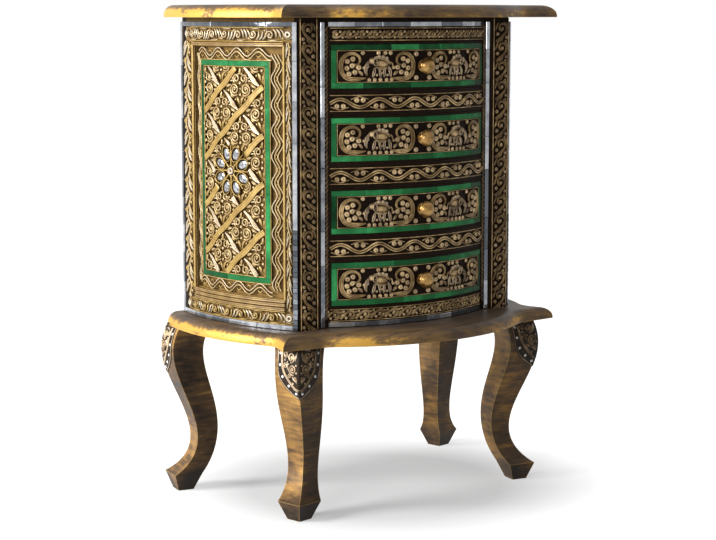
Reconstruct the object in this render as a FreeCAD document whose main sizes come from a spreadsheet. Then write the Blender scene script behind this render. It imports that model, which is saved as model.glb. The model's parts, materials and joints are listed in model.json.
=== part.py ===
# Bow-fronted chest of four drawers on curved legs, with glass mosaic trim.
# Millimetres, +Z up, the front faces -Y. The origin is on the floor under the middle of the boards.
import FreeCAD, Part
import Sketcher
import math
import os
from types import SimpleNamespace

# Driving dimensions in millimetres. side_splay and leg_turn are in degrees.
SIZES = {
    "overall_height": 757,
    # top and base boards, which share one outline
    "front_ledge": 110,
    "back_ledge": 1,
    "panel_bow_half": 185,
    "panel_bow_sag": 60,
    "panel_corner_half": 260,
    "panel_corner_reach": 45,
    "panel_waist_half": 244,
    "panel_back_half": 264,
    "panel_side_sag": 30,
    "panel_ear_round": 50,
    "panel_waist_round": 40,
    "panel_edge_lip": 2.5,
    "top_thickness": 18.5,
    "base_thickness": 18,
    # legs: square sections, leaning along the diagonal and turned from the sides
    "leg_height": 261,
    "leg_top_side": 52,
    "leg_top_inset": 12,
    "knee_height": 207,
    "knee_side": 49.5,
    "knee_inset": 3,
    "calf_height": 151,
    "calf_side": 44,
    "calf_inset": 21,
    "ankle_height": 95.5,
    "ankle_side": 34,
    "ankle_inset": 34,
    "foot_height": 27,
    "foot_side": 45.5,
    "foot_inset": 1,
    "foot_bottom_side": 25,
    "leg_turn": 10.5,
    "front_foot_half": 212,
    "front_foot_forward": 14,
    "rear_foot_half": 258,
    "rear_foot_inset": 29.5,
    # shields on the knees, measured along each face from the arris
    "plaque_tip_height": 185,
    "plaque_half": 40,
    "plaque_shoulder": 46,
    "plaque_round": 60,
    "plaque_thickness": 2,
    # posts, stiles and bowed rails of the front
    "post_outer_half": 198,
    "post_width": 34,
    "post_side": 8.5,
    "post_lap": 22,
    "rear_post_width": 34,
    "rear_post_side": 19,
    "stile_width": 17,
    "stile_set_back": 1.5,
    "bow_sag": 35.5,
    "rail_height": 35.4,
    "bottom_rail_height": 29,
    "rail_depth": 22,
    # bowed sides and the back
    "side_chord": 275,
    "side_splay": 7,
    "side_sag": 27,
    "side_thickness": 18,
    "side_front_stile": 15,
    "side_rear_stile": 39,
    "side_top_rail": 43.5,
    "side_bottom_rail": 47,
    "side_panel_recess": 6,
    "side_panel_thickness": 8,
    "back_thickness": 6,
    "back_inset": 4,
    # lattice raised on the side panels
    "lattice_rise": 71.5,
    "lattice_run": 84,
    "lattice_band_width": 7,
    "lattice_leaf_width": 4,
    "lattice_height": 1.6,
    "lattice_margin": 1,
    "lattice_clearance": 40,
    # drawers and what they run on
    "drawer_gap": 1,
    "drawer_front_thickness": 15,
    "drawer_side_thickness": 10,
    "drawer_side_inset": 4,
    "drawer_top_drop": 10,
    "drawer_back_thickness": 10,
    "drawer_bottom_thickness": 6,
    "drawer_bottom_lift": 5,
    "drawer_tail_gap": 1,
    "runner_lap": 14,
    "runner_height": 12,
    "guide_height": 14,
    "guide_thickness": 6,
    "running_clearance": 0.3,
    "guide_clearance": 1.5,
    # knobs and their screws
    "knob_head_diameter": 26,
    "knob_neck_diameter": 12,
    "knob_base_diameter": 18,
    "knob_base_thickness": 3,
    "knob_neck_end": 10,
    "knob_brim": 14,
    "knob_reach": 23,
    "screw_diameter": 4,
    "screw_head_diameter": 8,
    "screw_head_thickness": 2.5,
    "screw_bite": 11,
    "screw_clearance": 0.1,
    # glass
    "green_width": 8,
    "green_thickness": 1.6,
    "green_margin": 3,
    "side_green_front_margin": 26,
    "side_green_rear_margin": 14.5,
    "side_green_end_margin": 20,
    "side_green_bed": 0.2,
    "mirror_width": 7,
    "mirror_thickness": 1.6,
    "mirror_edge": 3,
    "mirror_foot_edge": 1,
    "mirror_head_edge": 6.5,
    "petal_count": 8,
    "petal_length": 22,
    "petal_width": 14,
    "petal_thickness": 2.5,
    "flower_ring_radius": 27,
    "flower_eye_diameter": 9,
    # dowels
    "dowel_diameter": 8,
    "dowel_length": 24,
    "dowel_clearance": 0.1,
}

DRAWERS = 4
SIDES = {"left": -1, "right": 1}


class Size:
    """A length that keeps its present number and the expression that gives it."""

    def __init__(self, number, text=None):
        self.number = float(number)
        self.text = text or f"({number})"

    def __add__(self, other):
        other = as_size(other)
        return Size(self.number + other.number, f"({self.text} + {other.text})")

    def __sub__(self, other):
        other = as_size(other)
        return Size(self.number - other.number, f"({self.text} - {other.text})")

    def __mul__(self, other):
        other = as_size(other)
        return Size(self.number * other.number, f"({self.text} * {other.text})")

    def __truediv__(self, other):
        other = as_size(other)
        return Size(self.number / other.number, f"({self.text} / {other.text})")

    def __neg__(self):
        return Size(-self.number, f"(0 - {self.text})")

    def squared(self):
        return Size(self.number ** 2, f"({self.text})^2")


def as_size(value):
    return value if isinstance(value, Size) else Size(value)


def root(size):
    return Size(math.sqrt(size.number), f"sqrt({size.text})")


def sine(size):
    return Size(math.sin(math.radians(size.number)), f"sin({size.text})")


def cosine(size):
    return Size(math.cos(math.radians(size.number)), f"cos({size.text})")


def arc_radius(half_chord, sag):
    return (half_chord.squared() + sag.squared()) / (sag * 2)


doc = FreeCAD.newDocument("Cabinet")
sheet = doc.addObject("Spreadsheet::Sheet", "Sheet")
worked = doc.addObject("App::VarSet", "Worked")


def fill_sheet():
    """Writes the driving dimensions to the sheet and returns them as sizes."""
    sizes = {}
    for row, (alias, number) in enumerate(SIZES.items(), start=1):
        sheet.set(f"A{row}", alias)
        sheet.set(f"B{row}", str(number))
        sheet.setAlias(f"B{row}", alias)
        sizes[alias] = Size(number, f"Sheet.{alias}")
    doc.recompute()
    return SimpleNamespace(**sizes)


def work(name, size):
    """Keeps a worked-out size under a name of its own in the document."""
    worked.addProperty("App::PropertyFloat", name)
    worked.setExpression(name, size.text)
    return Size(size.number, f"Worked.{name}")


d = fill_sheet()

# Places along Y
case_depth = work("case_depth", d.side_chord * cosine(d.side_splay))
back = work("back", (d.front_ledge + case_depth + d.back_ledge) / 2)
face = work("face", d.front_ledge - back)
case_back = work("case_back", face + case_depth)
stile_face = work("stile_face", face + d.stile_set_back)
rail_back = work("rail_back", stile_face + d.rail_depth)

# Heights
deck = work("deck", d.leg_height + d.base_thickness)
lid = work("lid", d.overall_height - d.top_thickness)
case_height = work("case_height", lid - deck)
rails_height = work("rails_height", d.bottom_rail_height + d.rail_height * DRAWERS)
opening_height = work("opening_height", (case_height - rails_height) / DRAWERS)
drawer_pitch = work("drawer_pitch", opening_height + d.rail_height)
first_opening = work("first_opening", deck + d.bottom_rail_height)

# Front: half-widths and the bow
post_inner = work("post_inner", d.post_outer_half - d.post_width)
opening_half = work("opening_half", post_inner - d.stile_width)
bow_radius = work("bow_radius", arc_radius(opening_half, d.bow_sag))

# Sides: the bow in plan, measured along its chord from the front corner
side_radius = work("side_radius", arc_radius(d.side_chord / 2, d.side_sag))
rear_start = work("rear_start", d.side_chord - d.rear_post_side)
panel_start = work("panel_start", d.post_side + d.side_front_stile)
panel_end = work("panel_end", rear_start - d.side_rear_stile)
rear_outer = work("rear_outer", d.post_outer_half + d.side_chord * sine(d.side_splay))
rear_inner = work("rear_inner", rear_outer - d.rear_post_width)
back_front = work("back_front", case_back - d.back_inset - d.back_thickness)
green_start = work("green_start", panel_start + d.side_green_front_margin)
green_end = work("green_end", panel_end - d.side_green_rear_margin)
panel_bottom = work("panel_bottom", deck + d.side_bottom_rail)
panel_top = work("panel_top", lid - d.side_top_rail)
green_bottom = work("green_bottom", panel_bottom + d.side_green_end_margin)
green_top = work("green_top", panel_top - d.side_green_end_margin)
field_edge = work("field_edge", d.green_width + d.lattice_margin)
field_width = work("field_width", green_end - green_start - field_edge * 2)
field_height = work("field_height", green_top - green_bottom - field_edge * 2)

# Drawers
drawer_half = work("drawer_half", opening_half - d.drawer_gap)
drawer_height = work("drawer_height", opening_height - d.drawer_gap * 2)
box_outer = work("box_outer", opening_half - d.drawer_side_inset)
box_inner = work("box_inner", box_outer - d.drawer_side_thickness)
box_height = work("box_height", drawer_height - d.drawer_top_drop)
box_tail = work("box_tail", back_front - d.drawer_tail_gap)
floor_top = work("floor_top", d.drawer_bottom_lift + d.drawer_bottom_thickness)


def bow(x, depth):
    """Y of the bowed front at x, depth behind its surface."""
    return stile_face - d.bow_sag + bow_radius - root((bow_radius - depth).squared() - x.squared())


def on_side(along, depth):
    """Plan point of the right side, along its chord and depth behind its surface."""
    offset = along - d.side_chord / 2
    rise = root((side_radius - depth).squared() - offset.squared()) - side_radius + d.side_sag
    x = d.post_outer_half + along * sine(d.side_splay) + rise * cosine(d.side_splay)
    y = face + along * cosine(d.side_splay) - rise * sine(d.side_splay)
    return x, y


def bow_band(x_from, x_to, outer, inner):
    """Plan outline of a band that follows the bowed front."""
    return [
        (x_from, bow(x_from, outer), bow_radius - outer),
        (x_to, bow(x_to, outer)),
        (x_to, bow(x_to, inner), inner - bow_radius),
        (x_from, bow(x_from, inner)),
    ]


def side_band(start, end, outer, inner):
    """Plan outline of a band that follows the bowed right side."""
    return [
        (*on_side(start, outer), side_radius - outer),
        on_side(end, outer),
        (*on_side(end, inner), inner - side_radius),
        on_side(start, inner),
    ]


def rectangle(x_from, x_to, y_from, y_to):
    return [(x_from, y_from), (x_to, y_from), (x_to, y_to), (x_from, y_to)]


def handed(outline, sign):
    """The outline of a right-hand piece, mirrored for the left."""
    if sign > 0:
        return outline
    return [(-corner[0], corner[1], *(-radius for radius in corner[2:])) for corner in outline]


def arc_between(start, end, radius):
    """Arc from start to end. A positive radius bulges to the right of the travel."""
    chord = end - start
    sag = abs(radius) - math.sqrt(radius ** 2 - chord.Length ** 2 / 4)
    right = FreeCAD.Vector(chord.y, -chord.x, 0).normalize()
    middle = (start + end) / 2 + right * math.copysign(sag, radius)
    return Part.Arc(start, middle, end)


def attach(sketch, body, role):
    plane = next(feature for feature in body.Origin.OriginFeatures if feature.Role == role)
    sketch.AttachmentSupport = [(plane, "")]
    sketch.MapMode = "FlatFace"


def bind(sketch, constraints):
    """Adds constraints, each with the size that drives it or None."""
    indices = sketch.addConstraint([constraint for constraint, size in constraints])
    for index, (constraint, size) in zip(indices, constraints):
        if size is not None:
            sketch.setExpression(f"Constraints[{index}]", size.text)


def draw(sketch, outline):
    """Draws a closed outline of corners (x, y), with a radius where an arc follows."""
    outline = [tuple(as_size(value) for value in corner) for corner in outline]
    points = [FreeCAD.Vector(corner[0].number, corner[1].number, 0) for corner in outline]
    ends = []
    for index, corner in enumerate(outline):
        start = points[index]
        end = points[(index + 1) % len(points)]
        if len(corner) == 3:
            curve = arc_between(start, end, corner[2].number)
        else:
            curve = Part.LineSegment(start, end)
        edge = sketch.addGeometry(curve, False)
        first = 1 if sketch.getPoint(edge, 1).distanceToPoint(start) < 1e-6 else 2
        ends.append((edge, first))
    constraints = []
    for index, corner in enumerate(outline):
        edge, first = ends[index]
        following = ends[(index + 1) % len(ends)]
        join = Sketcher.Constraint("Coincident", edge, 3 - first, *following)
        constraints.append((join, None))
        for kind, size in zip(("DistanceX", "DistanceY"), corner):
            constraints.append((Sketcher.Constraint(kind, -1, 1, edge, first, size.number), size))
        if len(corner) == 3:
            radius = corner[2] if corner[2].number > 0 else -corner[2]
            constraints.append((Sketcher.Constraint("Radius", edge, radius.number), radius))
    bind(sketch, constraints)


def draw_circles(sketch, centres, diameter):
    constraints = []
    for x, y in centres:
        centre = FreeCAD.Vector(x.number, y.number, 0)
        circle = Part.Circle(centre, FreeCAD.Vector(0, 0, 1), diameter.number / 2)
        edge = sketch.addGeometry(circle, False)
        constraints.append((Sketcher.Constraint("DistanceX", -1, 1, edge, 3, x.number), x))
        constraints.append((Sketcher.Constraint("DistanceY", -1, 1, edge, 3, y.number), y))
        constraints.append((Sketcher.Constraint("Diameter", edge, diameter.number), diameter))
    bind(sketch, constraints)


def set_on(shape, seat, across, sign):
    """A shape moved to a seat, its X set across, its Y up and its Z out, and mirrored for the left."""
    upward = FreeCAD.Vector(0, 0, 1)
    outward = across.cross(upward)
    moved = shape.transformed(FreeCAD.Matrix(
        across.x, upward.x, outward.x, seat.x,
        across.y, upward.y, outward.y, seat.y,
        across.z, upward.z, outward.z, seat.z,
        0, 0, 0, 1,
    ))
    if sign < 0:
        moved = moved.mirror(FreeCAD.Vector(), FreeCAD.Vector(1, 0, 0))
    return moved


def side_seat(back_by, up_by):
    """A point of the right side panel from the middle of its field, and the level direction back along it."""
    along = (green_start + green_end).number / 2 + back_by
    height = (green_bottom + green_top).number / 2 + up_by
    lean = math.asin((along - d.side_chord.number / 2) / (side_radius - d.side_panel_recess).number)
    heading = math.radians(d.side_splay.number) - lean
    x, y = on_side(Size(along), d.side_panel_recess)
    seat = FreeCAD.Vector(x.number, y.number, height)
    return seat, FreeCAD.Vector(math.sin(heading), math.cos(heading), 0)


def new_body(label, bottom):
    body = doc.addObject("PartDesign::Body", label)
    body.setExpression("Placement.Base.z", as_size(bottom).text)
    return body


def new_sketch(body, name, role="XY_Plane", height=None):
    sketch = body.newObject("Sketcher::SketchObject", f"{body.Name}_{name}")
    attach(sketch, body, role)
    if height is not None:
        sketch.setExpression("AttachmentOffset.Base.z", height.text)
    return sketch


def add_pad(body, name, outline, height):
    sketch = new_sketch(body, f"{name}_outline")
    draw(sketch, outline)
    pad = body.newObject("PartDesign::Pad", f"{body.Name}_{name}")
    pad.Profile = sketch
    pad.setExpression("Length", height.text)
    return pad


def board(label, outline, bottom, height):
    """A board of a plan outline, standing at a height."""
    body = new_body(label, bottom)
    add_pad(body, "pad", outline, height)
    return body


def bore_ends(body, name, height, centres):
    """Dowel holes that go half a dowel deep each way from a height in the body."""
    sketch = new_sketch(body, f"{name}_circles", height=height)
    draw_circles(sketch, centres, d.dowel_diameter + d.dowel_clearance * 2)
    pocket = body.newObject("PartDesign::Pocket", f"{body.Name}_{name}")
    pocket.Profile = sketch
    pocket.SideType = "Symmetric"
    pocket.setExpression("Length", (d.dowel_length + d.dowel_clearance * 2).text)


def turned(label, profile, y, z):
    """A turned piece: a profile of (along Y, radius) about its own Y axis."""
    body = new_body(label, z)
    body.setExpression("Placement.Base.y", y.text)
    sketch = new_sketch(body, "profile", "YZ_Plane")
    draw(sketch, profile)
    turning = body.newObject("PartDesign::Revolution", f"{label}_turning")
    turning.Profile = sketch
    turning.ReferenceAxis = (sketch, ["H_Axis"])
    turning.Angle = 360
    return body


parts = {}


def keep(body):
    parts[body.Label] = body


def group(label, pieces):
    """One sub-part made of several separate solids."""
    compound = doc.addObject("Part::Compound", label)
    compound.Links = pieces
    keep(compound)


# Where each leg and post meets the boards, for the right-hand side
legs = {
    "front": (d.front_foot_half, face - d.front_foot_forward, -1),
    "rear": (d.rear_foot_half, case_back - d.rear_foot_inset, 1),
}
post_lap_point = on_side(d.post_side + d.post_lap, d.side_thickness)
post_rebate = on_side(d.post_side, d.side_thickness)
rear_lap_point = on_side(rear_start - d.post_lap, d.side_thickness)
rear_rebate = on_side(rear_start, d.side_thickness)
posts = {
    "front": ((post_inner + post_rebate[0]) / 2, (face + post_lap_point[1]) / 2),
    "rear": ((rear_inner + rear_rebate[0]) / 2, (case_back + rear_lap_point[1]) / 2),
}
DIAGONAL = math.sqrt(0.5)


def leg_centre(end, inset):
    """Plan centre of a right-hand leg, set in along the diagonal."""
    x, y, outward = legs[end]
    return x - inset * DIAGONAL, y - inset * (DIAGONAL * outward)


def both_hands(points):
    return [(x * sign, y) for sign in SIDES.values() for x, y in points]


leg_dowels = both_hands([leg_centre(end, d.leg_top_inset) for end in legs])
post_dowels = both_hands(list(posts.values()))


def panel_outline():
    """Plan outline of the top and base boards, from the left end of the front bow."""
    bow_end = face - d.front_ledge + d.panel_bow_sag
    corner = face - d.panel_corner_reach
    half_chord = root((d.panel_back_half - d.panel_waist_half).squared() + (back - face).squared()) / 2
    side = arc_radius(half_chord, d.panel_side_sag)
    return [
        (-d.panel_bow_half, bow_end, arc_radius(d.panel_bow_half, d.panel_bow_sag)),
        (d.panel_bow_half, bow_end),
        (d.panel_corner_half, corner),
        (d.panel_waist_half, face, side),
        (d.panel_back_half, back),
        (-d.panel_back_half, back, side),
        (-d.panel_waist_half, face),
        (-d.panel_corner_half, corner),
    ]


def edges_where(shape, wanted):
    return [f"Edge{index}" for index, edge in enumerate(shape.Edges, start=1) if wanted(edge)]


def add_round(body, name, base, edges, radius):
    rounding = body.newObject("PartDesign::Fillet", f"{body.Name}_{name}")
    rounding.Base = (base, edges)
    rounding.setExpression("Radius", radius.text)
    doc.recompute()
    return rounding


def moulded_panel(label, bottom, thickness, dowel_ends):
    """A board with hollowed ears and waists, rounded along its front and side edges."""
    body = new_body(label, bottom)
    base = add_pad(body, "pad", panel_outline(), thickness)
    doc.recompute()
    outline = panel_outline()
    for name, corner, radius in (
        ("ears", outline[1], d.panel_ear_round),
        ("waists", outline[3], d.panel_waist_round),
    ):
        def upright_there(edge):
            middle = edge.CenterOfMass
            there = math.hypot(abs(middle.x) - corner[0].number, middle.y - corner[1].number)
            return there < 1e-3 and edge.BoundBox.ZLength > thickness.number / 2
        base = add_round(body, name, base, edges_where(base.Shape, upright_there), radius)

    def on_moulding(edge):
        box = edge.BoundBox
        on_top = box.ZMin > thickness.number - 1e-3
        return on_top and box.YMin < back.number - 1e-3
    add_round(body, "edge", base, edges_where(base.Shape, on_moulding), thickness - d.panel_edge_lip)
    for name, height, centres in dowel_ends:
        bore_ends(body, name, height, centres)
    keep(body)


def turned_square(centre, side, turn):
    """Plan square about a centre, turned anticlockwise."""
    x, y = centre
    near = (cosine(turn) - sine(turn)) * side / 2
    far = (cosine(turn) + sine(turn)) * side / 2
    return [(x - near, y - far), (x + far, y - near), (x + near, y + far), (x - far, y + near)]


# Height, side and inset of a leg's square sections
leg_levels = {
    "sole": (Size(0), d.foot_bottom_side, Size(0)),
    "foot": (d.foot_height, d.foot_side, d.foot_inset),
    "ankle": (d.ankle_height, d.ankle_side, d.ankle_inset),
    "calf": (d.calf_height, d.calf_side, d.calf_inset),
    "knee": (d.knee_height, d.knee_side, d.knee_inset),
    "top": (d.leg_height, d.leg_top_side, d.leg_top_inset),
}
LEG_SHAFT = ("foot", "ankle", "calf", "knee", "top")
LEG_TAPER = ("sole", "foot")


def leg_loft(body, name, levels, end, sign, skin=Size(0)):
    """A loft through a leg's sections, each larger all round by a skin."""
    sections = []
    for level in levels:
        height, side, inset = leg_levels[level]
        sketch = new_sketch(body, f"{level}_{name}", height=height)
        outline = turned_square(leg_centre(end, inset), side + skin * 2, d.leg_turn * legs[end][2])
        draw(sketch, handed(outline, sign))
        sections.append(sketch)
    loft = body.newObject("PartDesign::AdditiveLoft", f"{body.Name}_{name}")
    loft.Profile = sections[0]
    loft.Sections = sections[1:]
    loft.Ruled = levels == LEG_TAPER


def leg(end, hand, sign):
    """A curved square leg: a smooth shaft above the foot and a tapered foot."""
    body = new_body(f"{end}_{hand}_leg", 0)
    leg_loft(body, "shaft", LEG_SHAFT, end, sign)
    leg_loft(body, "taper", LEG_TAPER, end, sign)
    x, y = leg_centre(end, d.leg_top_inset)
    bore_ends(body, "dowel", d.leg_height, [(x * sign, y)])
    keep(body)


def shield_block(end, sign):
    """A block with a shield's outline, through the two outer faces of a leg under the base."""
    half = d.plaque_half.number * DIAGONAL
    tip = d.plaque_tip_height.number
    shoulder = tip + d.plaque_shoulder.number
    top = d.leg_height.number
    corners = [FreeCAD.Vector(*corner) for corner in (
        (0, tip), (half, shoulder), (half, top), (-half, top), (-half, shoulder),
    )]
    edges = [Part.makePolygon(corners[1:])]
    for start, finish in ((corners[0], corners[1]), (corners[-1], corners[0])):
        edges.append(arc_between(start, finish, d.plaque_round.number).toShape())
    outline = Part.Wire(Part.sortEdges([edge for item in edges for edge in item.Edges])[0])
    block = Part.Face(outline).extrude(FreeCAD.Vector(0, 0, d.leg_top_side.number))
    block.translate(FreeCAD.Vector(0, 0, d.plaque_thickness.number))
    x, y = leg_centre(end, (d.knee_inset + d.leg_top_inset) / 2)
    facing = (math.pi / 4 + math.radians(d.leg_turn.number)) * legs[end][2]
    beside = FreeCAD.Vector(-math.sin(facing), math.cos(facing), 0)
    return set_on(block, FreeCAD.Vector(x.number, y.number, 0), beside, sign)


def knee_plaque(end, hand, sign):
    """A raised shield that wraps the arris of one leg."""
    label = f"{end}_{hand}_plaque"
    core = new_body(f"{label}_core", 0)
    leg_loft(core, "core", LEG_SHAFT, end, sign)
    skin = new_body(f"{label}_skin", 0)
    leg_loft(skin, "skin", LEG_SHAFT, end, sign, d.plaque_thickness)
    shell = doc.addObject("Part::Cut", f"{label}_shell")
    shell.Base = skin
    shell.Tool = core
    block = doc.addObject("Part::Feature", f"{label}_block")
    block.Shape = shield_block(end, sign)
    plaque = doc.addObject("Part::MultiCommon", label)
    plaque.Shapes = [shell, block]
    return plaque


def front_post(hand, sign):
    """Front post with its flat carved face, and a rebate for the side's front stile."""
    outline = [
        (post_inner, face),
        (d.post_outer_half, face, side_radius),
        on_side(d.post_side, Size(0)),
        (*post_rebate, side_radius - d.side_thickness),
        post_lap_point,
        (post_inner, post_lap_point[1]),
    ]
    body = board(f"front_{hand}_post", handed(outline, sign), deck, case_height)
    x, y = posts["front"]
    for name, height in (("foot_dowel", Size(0)), ("head_dowel", case_height)):
        bore_ends(body, name, height, [(x * sign, y)])
    keep(body)


def rear_post(hand, sign):
    """Rear post, with a rebate for the side's rear stile."""
    outline = [
        (*on_side(rear_start, Size(0)), side_radius),
        (rear_outer, case_back),
        (rear_inner, case_back),
        (rear_inner, rear_lap_point[1]),
        (*rear_lap_point, side_radius - d.side_thickness),
        rear_rebate,
    ]
    body = board(f"rear_{hand}_post", handed(outline, sign), deck, case_height)
    x, y = posts["rear"]
    for name, height in (("foot_dowel", Size(0)), ("head_dowel", case_height)):
        bore_ends(body, name, height, [(x * sign, y)])
    keep(body)


def side_frame(hand, sign):
    """Stiles, rails and the recessed panel of one bowed side."""
    def member(name, start, end, bottom, height, outer=Size(0), inner=d.side_thickness):
        return board(name, handed(side_band(start, end, outer, inner), sign), bottom, height)
    group(f"{hand}_side_stiles", [
        member(f"{hand}_side_front_stile", d.post_side, panel_start, deck, case_height),
        member(f"{hand}_side_rear_stile", panel_end, rear_start, deck, case_height),
    ])
    group(f"{hand}_side_rails", [
        member(f"{hand}_side_bottom_rail", panel_start, panel_end, deck, d.side_bottom_rail),
        member(f"{hand}_side_top_rail", panel_start, panel_end, panel_top, d.side_top_rail),
    ])
    plain = member(
        f"{hand}_side_board", panel_start, panel_end, panel_bottom, panel_top - panel_bottom,
        d.side_panel_recess, d.side_panel_recess + d.side_panel_thickness,
    )
    sheet = member(
        f"{hand}_lattice_sheet", green_start + field_edge, green_end - field_edge,
        green_bottom + field_edge, field_height,
        d.side_panel_recess - d.lattice_height, d.side_panel_recess + d.lattice_height,
    )
    bars = doc.addObject("Part::Feature", f"{hand}_lattice_bars")
    bars.Shape = lattice_bars(sign)
    lattice = doc.addObject("Part::MultiCommon", f"{hand}_lattice")
    lattice.Shapes = [sheet, bars]
    panel = doc.addObject("Part::MultiFuse", f"{hand}_side_panel")
    panel.Shapes = [plain, lattice]
    keep(panel)


def lattice_bars(sign):
    """Slanted bars through a side panel, wide one way and narrow the other, clear of the flower."""
    rise = d.lattice_rise.number
    slope = rise / d.lattice_run.number
    reach = (field_height.number + field_width.number * slope) / 2
    length = field_height.number + field_width.number
    depth = d.side_sag.number
    rows = math.ceil(reach / rise)
    bars = []
    for width, lean, shift in ((d.lattice_band_width, -slope, 0), (d.lattice_leaf_width, slope, 0.5)):
        for row in range(-rows, rows):
            level = (row + shift) * rise
            if abs(level) >= reach:
                continue
            bar = Part.makeBox(length * 2, width.number, depth * 2)
            bar.translate(FreeCAD.Vector(-length, -width.number / 2, -depth))
            bar.rotate(FreeCAD.Vector(), FreeCAD.Vector(0, 0, 1), math.degrees(math.atan(lean)))
            bar.translate(FreeCAD.Vector(0, level, 0))
            bars.append(bar)
    hole = Part.makeCylinder(d.lattice_clearance.number, depth * 2, FreeCAD.Vector(0, 0, -depth))
    return set_on(bars[0].multiFuse(bars[1:]).cut(hole), *side_seat(0, 0), sign)


def side_green_border(hand, sign):
    """Four strips of green glass set on a side panel, as a frame."""
    start = green_start
    end = green_end
    bottom = green_bottom
    top = green_top
    inner = d.side_panel_recess - d.side_green_bed
    outer = inner - d.green_thickness
    strips = {
        "low": (start, end, bottom, d.green_width),
        "high": (start, end, top - d.green_width, d.green_width),
        "front": (start, start + d.green_width, bottom + d.green_width, top - bottom - d.green_width * 2),
        "rear": (end - d.green_width, end, bottom + d.green_width, top - bottom - d.green_width * 2),
    }
    return [
        board(
            f"{hand}_side_green_{name}",
            handed(side_band(strip_start, strip_end, outer, inner), sign),
            strip_bottom,
            strip_height,
        )
        for name, (strip_start, strip_end, strip_bottom, strip_height) in strips.items()
    ]


def side_mirror_strips(hand, sign):
    """Strips of mirror glass around the outer border of one side."""
    margin = (d.post_side - d.mirror_width) / 2
    rear_margin = (d.rear_post_side - d.mirror_width) / 2
    front_end = margin + d.mirror_width
    rear_strip = rear_start + rear_margin
    low = deck + d.mirror_foot_edge
    high = lid - d.mirror_head_edge - d.mirror_width
    between = high + d.mirror_width - low
    strips = {
        "low": (front_end, rear_strip, low, d.mirror_width),
        "high": (front_end, rear_strip, high, d.mirror_width),
        "front": (margin, front_end, low, between),
        "rear": (rear_strip, rear_strip + d.mirror_width, low, between),
    }
    group(f"{hand}_mirror_strips", [
        board(
            f"{hand}_side_mirror_{name}",
            handed(side_band(start, end, -d.mirror_thickness, Size(0)), sign),
            bottom,
            height,
        )
        for name, (start, end, bottom, height) in strips.items()
    ])


def front_mirror_strips():
    """Mirror strips above and below the drawers and down the two front stiles."""
    low = deck + d.mirror_foot_edge
    high = lid - d.mirror_head_edge - d.mirror_width
    strips = [
        board(
            f"front_mirror_{name}",
            bow_band(-opening_half, opening_half, -d.mirror_thickness, Size(0)),
            bottom,
            d.mirror_width,
        )
        for name, bottom in (("low", low), ("high", high))
    ]
    outer = post_inner - d.mirror_edge
    outline = rectangle(outer - d.mirror_width, outer, stile_face - d.mirror_thickness, stile_face)
    for hand, sign in SIDES.items():
        strips.append(board(
            f"front_mirror_{hand}", handed(outline, sign), low, high + d.mirror_width - low,
        ))
    group("front_mirror_strips", strips)


def front_rails():
    outline = [
        (-opening_half, stile_face, bow_radius),
        (opening_half, stile_face),
        (opening_half, rail_back),
        (-opening_half, rail_back),
    ]
    keep(board("bottom_front_rail", outline, deck, d.bottom_rail_height))
    for index, name in enumerate(("lower", "middle", "upper", "top")):
        level = first_opening + opening_height + drawer_pitch * index
        keep(board(f"{name}_front_rail", outline, level, d.rail_height))


def front_stile(hand, sign):
    outline = rectangle(opening_half, post_inner, stile_face, rail_back)
    keep(board(f"{hand}_front_stile", handed(outline, sign), deck, case_height))


def back_panel():
    outline = rectangle(-rear_inner, rear_inner, back_front, case_back - d.back_inset)
    keep(board("back_panel", outline, deck, case_height))


def drawer_sill(number):
    """Height of the underside of a drawer, counted from the top."""
    return first_opening + drawer_pitch * (DRAWERS - number) + d.drawer_gap


def drawer_runners():
    """L-shaped strips that carry and guide the drawers, from the rails to the back."""
    guide_inner = box_outer + d.guide_clearance
    guide_outer = guide_inner + d.guide_thickness
    shelf_inner = box_outer - d.runner_lap
    runners = []
    for number in range(1, DRAWERS + 1):
        shelf_top = drawer_sill(number) - d.running_clearance
        for hand, sign in SIDES.items():
            shelf = rectangle(shelf_inner, guide_outer, rail_back, back_front)
            guide = rectangle(guide_inner, guide_outer, rail_back, back_front)
            name = f"drawer_{number}_{hand}_runner"
            runner = board(name, handed(shelf, sign), shelf_top - d.runner_height, d.runner_height)
            add_pad(runner, "guide", handed(guide, sign), d.runner_height + d.guide_height)
            runners.append(runner)
    group("drawer_runners", runners)


def drawer_front(name, sill):
    body = board(
        f"{name}_front",
        bow_band(-drawer_half, drawer_half, Size(0), d.drawer_front_thickness),
        sill,
        drawer_height,
    )
    doc.recompute()
    hole = new_sketch(body, "screw_hole", "XZ_Plane")
    draw_circles(hole, [(Size(0), drawer_height / 2)], d.screw_diameter + d.screw_clearance * 2)
    pocket = body.newObject("PartDesign::Pocket", f"{body.Name}_screw_way")
    pocket.Profile = hole
    pocket.SideType = "Symmetric"
    pocket.Type = "ThroughAll"
    keep(body)


def drawer_box(name, sill):
    """Sides, back and bottom of one drawer, behind its front."""
    depth = d.drawer_front_thickness
    side = [
        (box_inner, bow(box_inner, depth), bow_radius - depth),
        (box_outer, bow(box_outer, depth)),
        (box_outer, box_tail),
        (box_inner, box_tail),
    ]
    group(f"{name}_sides", [
        board(f"{name}_{hand}_side", handed(side, sign), sill, box_height)
        for hand, sign in SIDES.items()
    ])
    back_outline = rectangle(-box_inner, box_inner, box_tail - d.drawer_back_thickness, box_tail)
    keep(board(f"{name}_back", back_outline, sill + floor_top, box_height - floor_top))
    bottom = [
        (-box_inner, bow(box_inner, depth), bow_radius - depth),
        (box_inner, bow(box_inner, depth)),
        (box_inner, box_tail),
        (-box_inner, box_tail),
    ]
    keep(board(f"{name}_bottom", bottom, sill + d.drawer_bottom_lift, d.drawer_bottom_thickness))


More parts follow.
